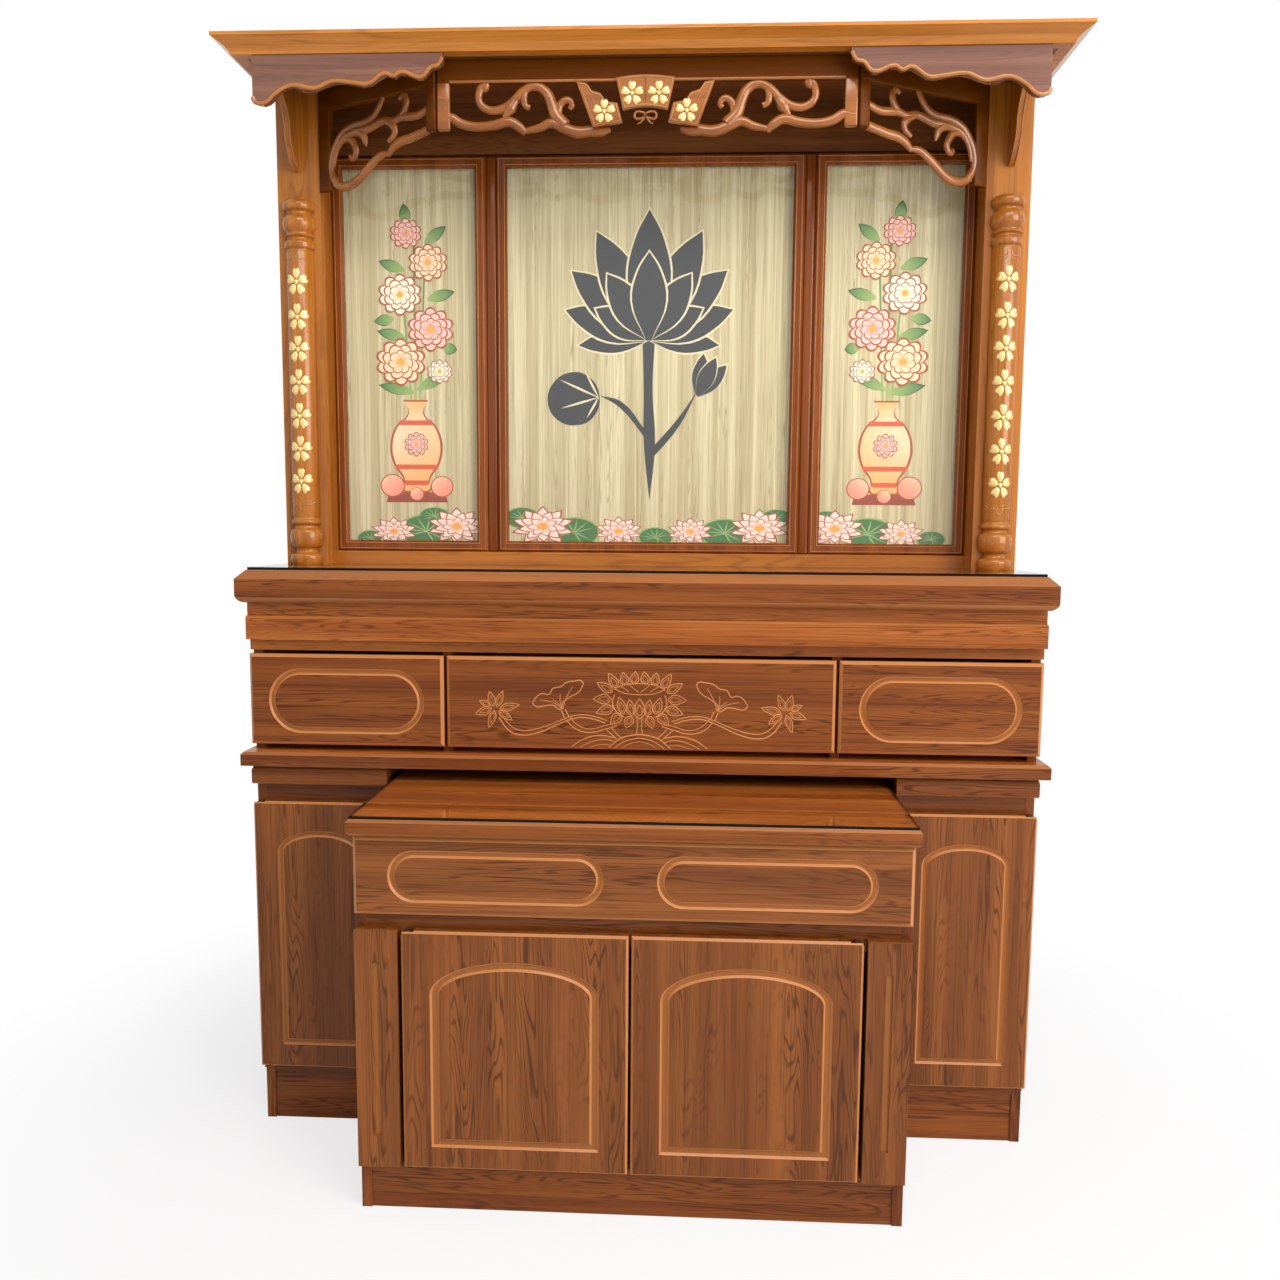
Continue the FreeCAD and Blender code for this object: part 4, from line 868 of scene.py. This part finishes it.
# Petals as base, tip and half width: the bloom's, right of its middle, then the end flower's
BLOOM_PETALS = (
    ((-12, 914), (-8, 938), 9), ((-28, 911), (-32, 936), 9), ((-43, 906), (-60, 934), 9),
    ((-52, 898), (-82, 916), 9), ((-54, 884), (-90, 884), 10), ((-50, 868), (-84, 856), 10),
    ((-36, 856), (-56, 834), 10), ((-16, 852), (-26, 828), 9), ((-30, 856), (-40, 888), 9),
    ((-14, 852), (-20, 884), 9),
)
END_PETALS = (
    ((-282, 866), (-290, 896), 8), ((-276, 866), (-264, 897), 7), ((-270, 862), (-232, 871), 8),
    ((-286, 862), (-318, 851), 8), ((-280, 858), (-292, 824), 7), ((-272, 858), (-246, 840), 7),
    ((-288, 868), (-310, 877), 6),
)


# How wide a carved petal is, to each side, at shares of its length
PETAL_SWELLS = ((0, 0), (0.3, 0.9), (0.65, 0.68), (1, 0), (0.65, -0.68), (0.3, -0.9), (0, 0))


def petal_line(base, tip, half, low=0.0, high=1.0):
    """The outline of a carved petal: out from its base, round to the pointed tip and back."""
    along = (tip[0] - base[0], tip[1] - base[1])
    long = math.hypot(*along)
    across = (-along[1] / long * half, along[0] / long * half)
    places = []
    for share, swell in PETAL_SWELLS:
        reach = low + share * (high - low)
        place = (base[0] + along[0] * reach + across[0] * swell,
                 base[1] + along[1] * reach + across[1] * swell)
        places.append(place if swell else (*place, 1))
    return places


def lotus_carving():
    strokes = list(LOTUS_LINES)
    for base, tip, half in BLOOM_PETALS + END_PETALS:
        strokes.append((petal_line(base, tip, half), (2.5,)))
        strokes.append((petal_line(base, tip, half * 0.5, 0.12, 0.74), (1.5,)))
    strokes = both_sides(strokes)
    strokes.append((petal_line((0, 846), (0, 886), 12), (2.8,)))
    strokes.append((petal_line((0, 852), (0, 874), 6), (2.0,)))
    return carved_lines("lotus_carving", strokes, DRAWER_FACE, routed_tan, squash=0.55, steps=4,
                        ring=1)


belongs(lotus_carving(), "drawer_centre", "laminate")


# Pictures: printed flowers on the boards, and a dark lotus in the middle, all behind the panes

RIM = (0.42, 0.075, 0.020)
PEACH, ROSE = ((0.93, 0.36, 0.10), (0.98, 0.80, 0.56)), ((0.84, 0.16, 0.15), (0.98, 0.66, 0.56))
CREAM, GOLD = ((0.95, 0.60, 0.26), (0.98, 0.92, 0.78)), ((0.98, 0.80, 0.28), (0.86, 0.40, 0.05))
LOTUS_TONES = ((0.90, 0.30, 0.17), (0.97, 0.90, 0.82))
LEAF_TONES, LEAF_RIM = ((0.30, 0.46, 0.13), (0.040, 0.15, 0.045)), (0.30, 0.45, 0.13)
RIB_TONES = ((0.40, 0.52, 0.20), (0.16, 0.32, 0.10))
SPRIG_TONES, SPRIG_RIM = ((0.34, 0.46, 0.14), (0.06, 0.18, 0.05)), (0.05, 0.12, 0.03)
STAND_TONES = ((0.62, 0.15, 0.04), (0.30, 0.05, 0.02))
VASE_TONES = ((0.98, 0.88, 0.68), (0.92, 0.46, 0.16))
BAND_TONES = ((0.90, 0.26, 0.08), (0.70, 0.10, 0.04))
FRUIT_TONES = ((0.98, 0.76, 0.50), (0.92, 0.30, 0.20))
SHEET = 0.03
# How much of a shape its tones cover, the rest is its rim
INSIDE_RIM = 0.91


def printed(outlines, tones, centre, reach, level=0.0, thick=SHEET):
    """Thin printed shapes on the board, toned from the centre out; level is how high they lie."""
    sheet = cut_out(outlines, BOARD_FACE - level - thick / 2, thick)
    cells = sheet.data.color_attributes.new("ink", "FLOAT_COLOR", "POINT").data
    for vertex, cell in zip(sheet.data.vertices, cells):
        gone = math.hypot(vertex.co.x / MM - centre[0], vertex.co.z / MM - centre[1]) / reach
        gone = min(gone, 1.0)
        cell.color = (*[a + (b - a) * gone for a, b in zip(*tones)], 1.0)
    return finished(sheet, ink_print)


def petal(base, angle, long, wide, pointed=True):
    """Outline of a petal that grows from its base, at an angle in degrees from straight up."""
    turn = math.radians(angle)
    up, aside = (math.sin(turn), math.cos(turn)), (math.cos(turn), -math.sin(turn))
    full = 0.30 if pointed else 0.42
    shape = ((0, 0.1, 1), (0.42, 0.46), (0.78, full), (1, 0, 1) if pointed else (1, 0),
             (0.78, -full), (0.42, -0.46), (0, -0.1, 1))
    return [(base[0] + up[0] * along * long + aside[0] * across * wide,
             base[1] + up[1] * along * long + aside[1] * across * wide, *corner)
            for along, across, *corner in shape]


def oval(centre, wide, tall, count=12):
    turns = [2 * math.pi * index / count for index in range(count)]
    return [(centre[0] + wide * math.cos(turn), centre[1] + tall * math.sin(turn))
            for turn in turns]


def rimmed(outline_of, tones, rim, centre, reach, level=0.0):
    """A shape in its tones over a slightly larger one in the rim's colour."""
    back = printed([outline_of(1.0)], (rim, rim), centre, reach, level)
    front = printed([outline_of(INSIDE_RIM)], tones, centre, reach, level + SHEET)
    return [back, front]


def petal_ring(count, long, wide, start, tones, rim, pointed, level):
    """Petals about (0, 0): turned copies of one, each a little above the last."""
    model = joined("petal", rimmed(lambda size: petal((0, 0), 0, long * size, wide * size, pointed),
                                   tones, rim, (0, 0), long, level))
    parts = []
    for index in range(count):
        one = copied(model, "petal_copy")
        turn = Matrix.Rotation(math.radians(start + 360 / count * index), 4, "Y")
        one.data.transform(Matrix.Translation((0, -2 * SHEET * index * MM, 0)) @ turn)
        parts.append(one)
    away(model)
    return parts


def bloom(name, rings, tones, rim, pointed, heart):
    """An open flower, 100 mm across, of several rings of petals round its heart."""
    parts, level = [], 0.0
    for count, long, wide, start in rings:
        parts += petal_ring(count, long, wide, start, tones, rim, pointed, level)
        level += 2 * SHEET * count
    parts.append(printed([oval((0, 0), heart, heart)], GOLD, (0, 0), heart, level))
    return joined(name, parts)


def leaf_print():
    """One round lotus leaf, 100 mm across, with its ribs."""
    parts = rimmed(lambda size: oval((0, 0), 50 * size, 50 * size), LEAF_TONES, LEAF_RIM,
                   (0, 0), 50)
    ribs = [petal((0, 0), 30 * index + 8, 44, 3.5) for index in range(12)]
    for odd in (0, 1):
        parts.append(printed(ribs[odd::2], RIB_TONES, (0, 0), 44, SHEET * (2 + odd)))
    return joined("leaf_print", parts)


def spread(models, places, flat, level):
    """Copies of the models in turn at (across, up, width), pressed flat as seen from the side."""
    parts = []
    for index, (across, up, wide) in enumerate(places):
        one = copied(models[index % len(models)], "printed_copy", (across, up),
                     (wide / 100, wide / 100 * flat))
        one.data.transform(Matrix.Translation((0, -(level + 0.01 * index) * MM, 0)))
        parts.append(one)
    return parts


# Along the foot of each board: (across, up, width) of the lotuses and of the leaves behind them
LOTUSES = ((-552, 1199, 104), (-414, 1211, 132), (-226, 1212, 142), (-62, 1203, 106),
           (92, 1203, 100), (240, 1212, 132), (400, 1211, 132), (540, 1201, 104))
LEAVES = ((-604, 1184, 60), (-480, 1200, 128), (-462, 1232, 70), (-270, 1230, 80),
          (-158, 1200, 112), (18, 1190, 76), (166, 1200, 108), (276, 1232, 70), (382, 1232, 60),
          (470, 1200, 122), (604, 1190, 62))


def lotus_border():
    lotus = bloom("lotus_print", ((10, 50, 23, 0), (9, 39, 21, 18), (7, 25, 17, 8)), LOTUS_TONES,
                  RIM, True, 8)
    leaf = leaf_print()
    parts = spread([leaf], LEAVES, 0.58, 0.0) + spread([lotus], LOTUSES, 0.62, 0.25)
    away(lotus)
    away(leaf)
    return joined("lotus_border_print", parts)


VASE = [(-26, 1283, 1), (26, 1283, 1), (32, 1292), (27, 1304), (50, 1346), (56, 1386),
        (42, 1426), (19, 1448), (17, 1464), (27, 1480, 1), (-27, 1480, 1), (-17, 1464),
        (-19, 1448), (-42, 1426), (-56, 1386), (-50, 1346), (-27, 1304), (-32, 1292)]
PEONIES = ((-30, 1560, 108), (34, 1628, 100), (-30, 1700, 94), (30, 1766, 84), (-16, 1826, 68),
           (52, 1540, 54))
SPRIGS = ((-4, 1496, -78, 76), (4, 1502, 62, 76), (-20, 1610, -76, 62), (28, 1690, 74, 60),
          (-20, 1750, -70, 58), (24, 1806, 52, 56), (-14, 1842, -8, 46), (-44, 1650, -98, 42),
          (60, 1590, 100, 30))
FRUIT = ((-52, 1298, 26), (54, 1296, 24), (0, 1280, 15))
STEM_TOPS = ((-9, 1660), (0, 1800), (9, 1740))
VASE_MIDDLE = 1382
VASE_BANDS = ((1432, 35), (1338, 45), (1304, 25))


def shrunk_vase(size):
    """The vase's outline drawn in, less in height so that its rim keeps an even width."""
    shorter = 1 - (1 - size) * 0.4
    return [(place[0] * size, VASE_MIDDLE + (place[1] - VASE_MIDDLE) * shorter, *place[2:])
            for place in VASE]


def tapered(low, low_half, high, high_half, middle_low=0, middle_high=0):
    """A straight-sided shape between two level edges, each with its height and half width."""
    return [(middle_low - low_half, low, 1), (middle_low + low_half, low, 1),
            (middle_high + high_half, high, 1), (middle_high - high_half, high, 1)]


def bouquet_print():
    """Peonies in a vase on a low stand, with fruit at its foot, drawn about x = 0."""
    stems = [tapered(1476, 2, top, 2, x, x * 2.4) for x, top in STEM_TOPS]
    parts = [printed([stem], SPRIG_TONES, (0, 1476), 320, SHEET * index)
             for index, stem in enumerate(stems)]
    for index, (x, z, angle, long) in enumerate(SPRIGS):
        parts += rimmed(lambda size: petal((x, z), angle, long * size, 26 * size), SPRIG_TONES,
                        SPRIG_RIM, (x, z), long, 0.1 + 2 * SHEET * index)
    parts.append(printed([tapered(1262, 66, 1284, 60)], STAND_TONES, (0, 1284), 66))
    parts += rimmed(shrunk_vase, VASE_TONES, RIM, (-12, 1396), 84, 0.1)
    for index, (up, half) in enumerate(VASE_BANDS):
        band = tapered(up - 5, half, up + 5, half)
        parts.append(printed([band], BAND_TONES, (0, up), half, 0.2 + SHEET * index))
    for index, (x, z, radius) in enumerate(FRUIT):
        parts += rimmed(lambda size: oval((x, z), radius * size, radius * size * 0.95), FRUIT_TONES,
                        RIM, (x - 6, z + 7), radius * 1.2, 0.3 + 0.1 * index)
    rings = ((10, 50, 30, 0), (8, 38, 28, 20), (7, 25, 21, 0))
    models = [bloom("peony_print", rings, tones, RIM, False, 7) for tones in (PEACH, ROSE, CREAM)]
    parts += spread(models, PEONIES, 0.94, 0.75)
    parts += spread([models[1]], ((0, 1386, 52),), 1.0, 0.35)
    for model in models:
        away(model)
    return joined("bouquet_print", parts)


# The dark lotus in the middle: petals to both sides as (angle, length, width), the back ones first
EMBLEM_GREY, EMBLEM_LINE = (0.040, 0.041, 0.043), (0.80, 0.69, 0.45)
EMBLEM_FOOT, EMBLEM_SHEET = (0, 1610), 0.16
EMBLEM_PETALS = ((96, 150, 50), (72, 186, 74), (50, 214, 84), (27, 244, 92), (0, 262, 98),
                 (62, 128, 62), (34, 158, 72), (0, 176, 78))
EMBLEM_STEMS = (
    [(-13, 1606, 1), (13, 1606, 1), (9, 1500), (15, 1390), (4, 1268, 1), (-9, 1390), (-10, 1500)],
    [(-8, 1420, 1), (-58, 1478), (-104, 1490, 1), (-62, 1466), (0, 1392, 1)],
    [(8, 1380, 1), (58, 1436), (104, 1500, 1), (66, 1426), (0, 1348, 1)],
)
EMBLEM_LEAF = [(-104, 1490), (-128, 1530), (-168, 1538), (-206, 1512), (-214, 1470),
               (-190, 1436), (-150, 1428), (-116, 1446)]
EMBLEM_RIBS = ((-28, 62), (-66, 92), (-106, 84), (-150, 50))
# The bud's three petals: angle, and how high each lies
EMBLEM_BUD = ((8, 1), (44, 1.1), (26, 2.2))


def emblem_piece(outline, ink, level):
    return printed([outline], (ink, ink), EMBLEM_FOOT, 1, EMBLEM_SHEET * level, EMBLEM_SHEET)


def lotus_emblem():
    """A stem with a leaf and a bud, then the petals of the bloom from the back ones forward."""
    parts = [emblem_piece(stem, EMBLEM_GREY, 0.3 * index)
             for index, stem in enumerate(EMBLEM_STEMS)]
    parts.append(emblem_piece(EMBLEM_LEAF, EMBLEM_GREY, 1))
    for angle, long in EMBLEM_RIBS:
        rib = petal((-106, 1486), angle, long, 5)
        parts.append(emblem_piece(rib, EMBLEM_LINE, 2 + angle / -400))
    for angle, level in EMBLEM_BUD:
        for ink, size, step in ((EMBLEM_LINE, 1.06, 0), (EMBLEM_GREY, 1.0, 0.6)):
            outline = petal((104, 1490), angle, 88 * size, 38 * size)
            parts.append(emblem_piece(outline, ink, level + step))
    level = 1
    for angle, long, wide in EMBLEM_PETALS:
        for turn in sorted({-angle, angle}):
            line = petal(EMBLEM_FOOT, turn, long + 5, wide + 9)
            parts.append(emblem_piece(line, EMBLEM_LINE, level))
            parts.append(emblem_piece(petal(EMBLEM_FOOT, turn, long, wide), EMBLEM_GREY,
                                      level + 0.4))
            level += 0.75
    return joined("lotus_emblem", parts)


picture = bouquet_print()
for side, across, stretch in (("left", -500, 1.02), ("right", 502, -1.02)):
    print_there = copied(picture, f"bouquet_print_{side}", (across, 0), (stretch, 1))
    belongs(print_there, "cabinet", "picture_board")
away(picture)
belongs(lotus_border(), "cabinet", "picture_board")
belongs(lotus_emblem(), "cabinet", "picture_board")


# Camera, as the photograph was taken

CAMERA_PLACE = (0.0989, -2.12294, 1.21751)
CAMERA_PITCH, CAMERA_YAW, CAMERA_ROLL = 6.08, -2.76, 0.41
# The lens in the photograph's pixels, the photograph's width, and the film's in millimetres
FOCAL_PIXELS, PHOTO_WIDE, FILM_WIDE = 1083.71, 1280, 36.0


def stand_camera():
    drop_selection()
    bpy.ops.object.camera_add(location=CAMERA_PLACE)
    camera = bpy.context.object
    pitch, yaw, roll = (math.radians(turn) for turn in (CAMERA_PITCH, CAMERA_YAW, CAMERA_ROLL))
    ahead = Vector((math.sin(yaw) * math.cos(pitch), math.cos(yaw) * math.cos(pitch),
                    -math.sin(pitch)))
    right = ahead.cross(Vector((0, 0, 1))).normalized()
    up = right.cross(ahead)
    tilted_right = right * math.cos(roll) + up * math.sin(roll)
    tilted_up = -right * math.sin(roll) + up * math.cos(roll)
    camera.rotation_euler = Matrix((tilted_right, tilted_up, -ahead)).transposed().to_euler()
    camera.data.sensor_width = FILM_WIDE
    camera.data.lens = FOCAL_PIXELS / PHOTO_WIDE * FILM_WIDE
    bpy.context.scene.camera = camera


stand_camera()


# Floor, backdrop and lamps

FLOOR_WIDE = 14
# Metres from the cabinet's middle between which the floor fades from its shadow to white
SHADOW_NEAR, SHADOW_FAR = 0.9, 1.7


def studio_floor(name):
    """Pale floor that keeps the soft shadow near the cabinet and fades to white further off."""
    material, tree, shader = finish_of(name)
    dial(shader, Base_Color=(0.86, 0.86, 0.86, 1.0), Roughness=0.9)
    place = split_place(tree, "Object")
    across, along = (value_math(tree, "POWER", value_math(tree, "ABSOLUTE", place[axis]), 2.0)
                     for axis in "XY")
    off = value_math(tree, "SQRT", value_math(tree, "ADD", across, along))
    white = value_math(tree, "MULTIPLY_ADD", smooth_step(tree, off, SHADOW_NEAR, SHADOW_FAR),
                       0.3, 0.7)
    glow = tree.nodes.new("ShaderNodeEmission")
    path = tree.nodes.new("ShaderNodeLightPath")
    share = product(tree, path.outputs["Is Camera Ray"], white)
    show(tree, mix_shaders(tree, share, shader.outputs[0], glow.outputs[0]))
    return material


def lay_floor():
    drop_selection()
    bpy.ops.mesh.primitive_plane_add(size=FLOOR_WIDE, location=(0, 0, -0.0005))
    floor = bpy.context.object
    floor.name = "studio_floor"
    floor.data.materials.append(studio_floor("studio_floor"))


# The room's light on the cabinet; the backdrop as seen, mirrored or through glass is white
ROOM_LIGHT = 0.4


def light_world():
    world = bpy.data.worlds.new("studio")
    bpy.context.scene.world = world
    world.use_nodes = True
    tree = world.node_tree
    tree.nodes.clear()
    path = tree.nodes.new("ShaderNodeLightPath")
    seen = path.outputs["Is Camera Ray"]
    for kind in ("Is Glossy Ray", "Is Transmission Ray"):
        seen = value_math(tree, "MAXIMUM", seen, path.outputs[kind])
    back = tree.nodes.new("ShaderNodeBackground")
    dial(back, Color=(1, 1, 1, 1))
    strength = value_math(tree, "MULTIPLY_ADD", seen, 1.0 - ROOM_LIGHT, ROOM_LIGHT)
    tree.links.new(strength, back.inputs["Strength"])
    out = tree.nodes.new("ShaderNodeOutputWorld")
    tree.links.new(back.outputs[0], out.inputs["Surface"])


# Each lamp's place and target in metres, its watts, and its size
LAMPS = {
    "front_window": ((3.6, -3.1, 2.5), (0, 0, 0.9), 192, (3.0, 2.8)),
    "left_fill": ((-3.3, -2.8, 2.6), (0, 0, 1.4), 10, (1.6, 2.0)),
    "ceiling": ((0.7, -2.6, 4.3), (0, -0.5, 0.6), 105, (3.0, 1.6)),
}


def hang_lamp(name, place, target, power, size):
    drop_selection()
    bpy.ops.object.light_add(type="AREA", location=place)
    lamp = bpy.context.object
    lamp.name = name
    lamp.data.energy = power
    lamp.data.shape = "RECTANGLE"
    lamp.data.size, lamp.data.size_y = size
    lamp.rotation_euler = (Vector(target) - Vector(place)).to_track_quat("-Z", "Y").to_euler()
    lamp.data.color = (1.0, 0.985, 0.96)


lay_floor()
light_world()
for name, lamp in LAMPS.items():
    hang_lamp(name, *lamp)

bpy.context.scene.view_settings.view_transform = "Standard"
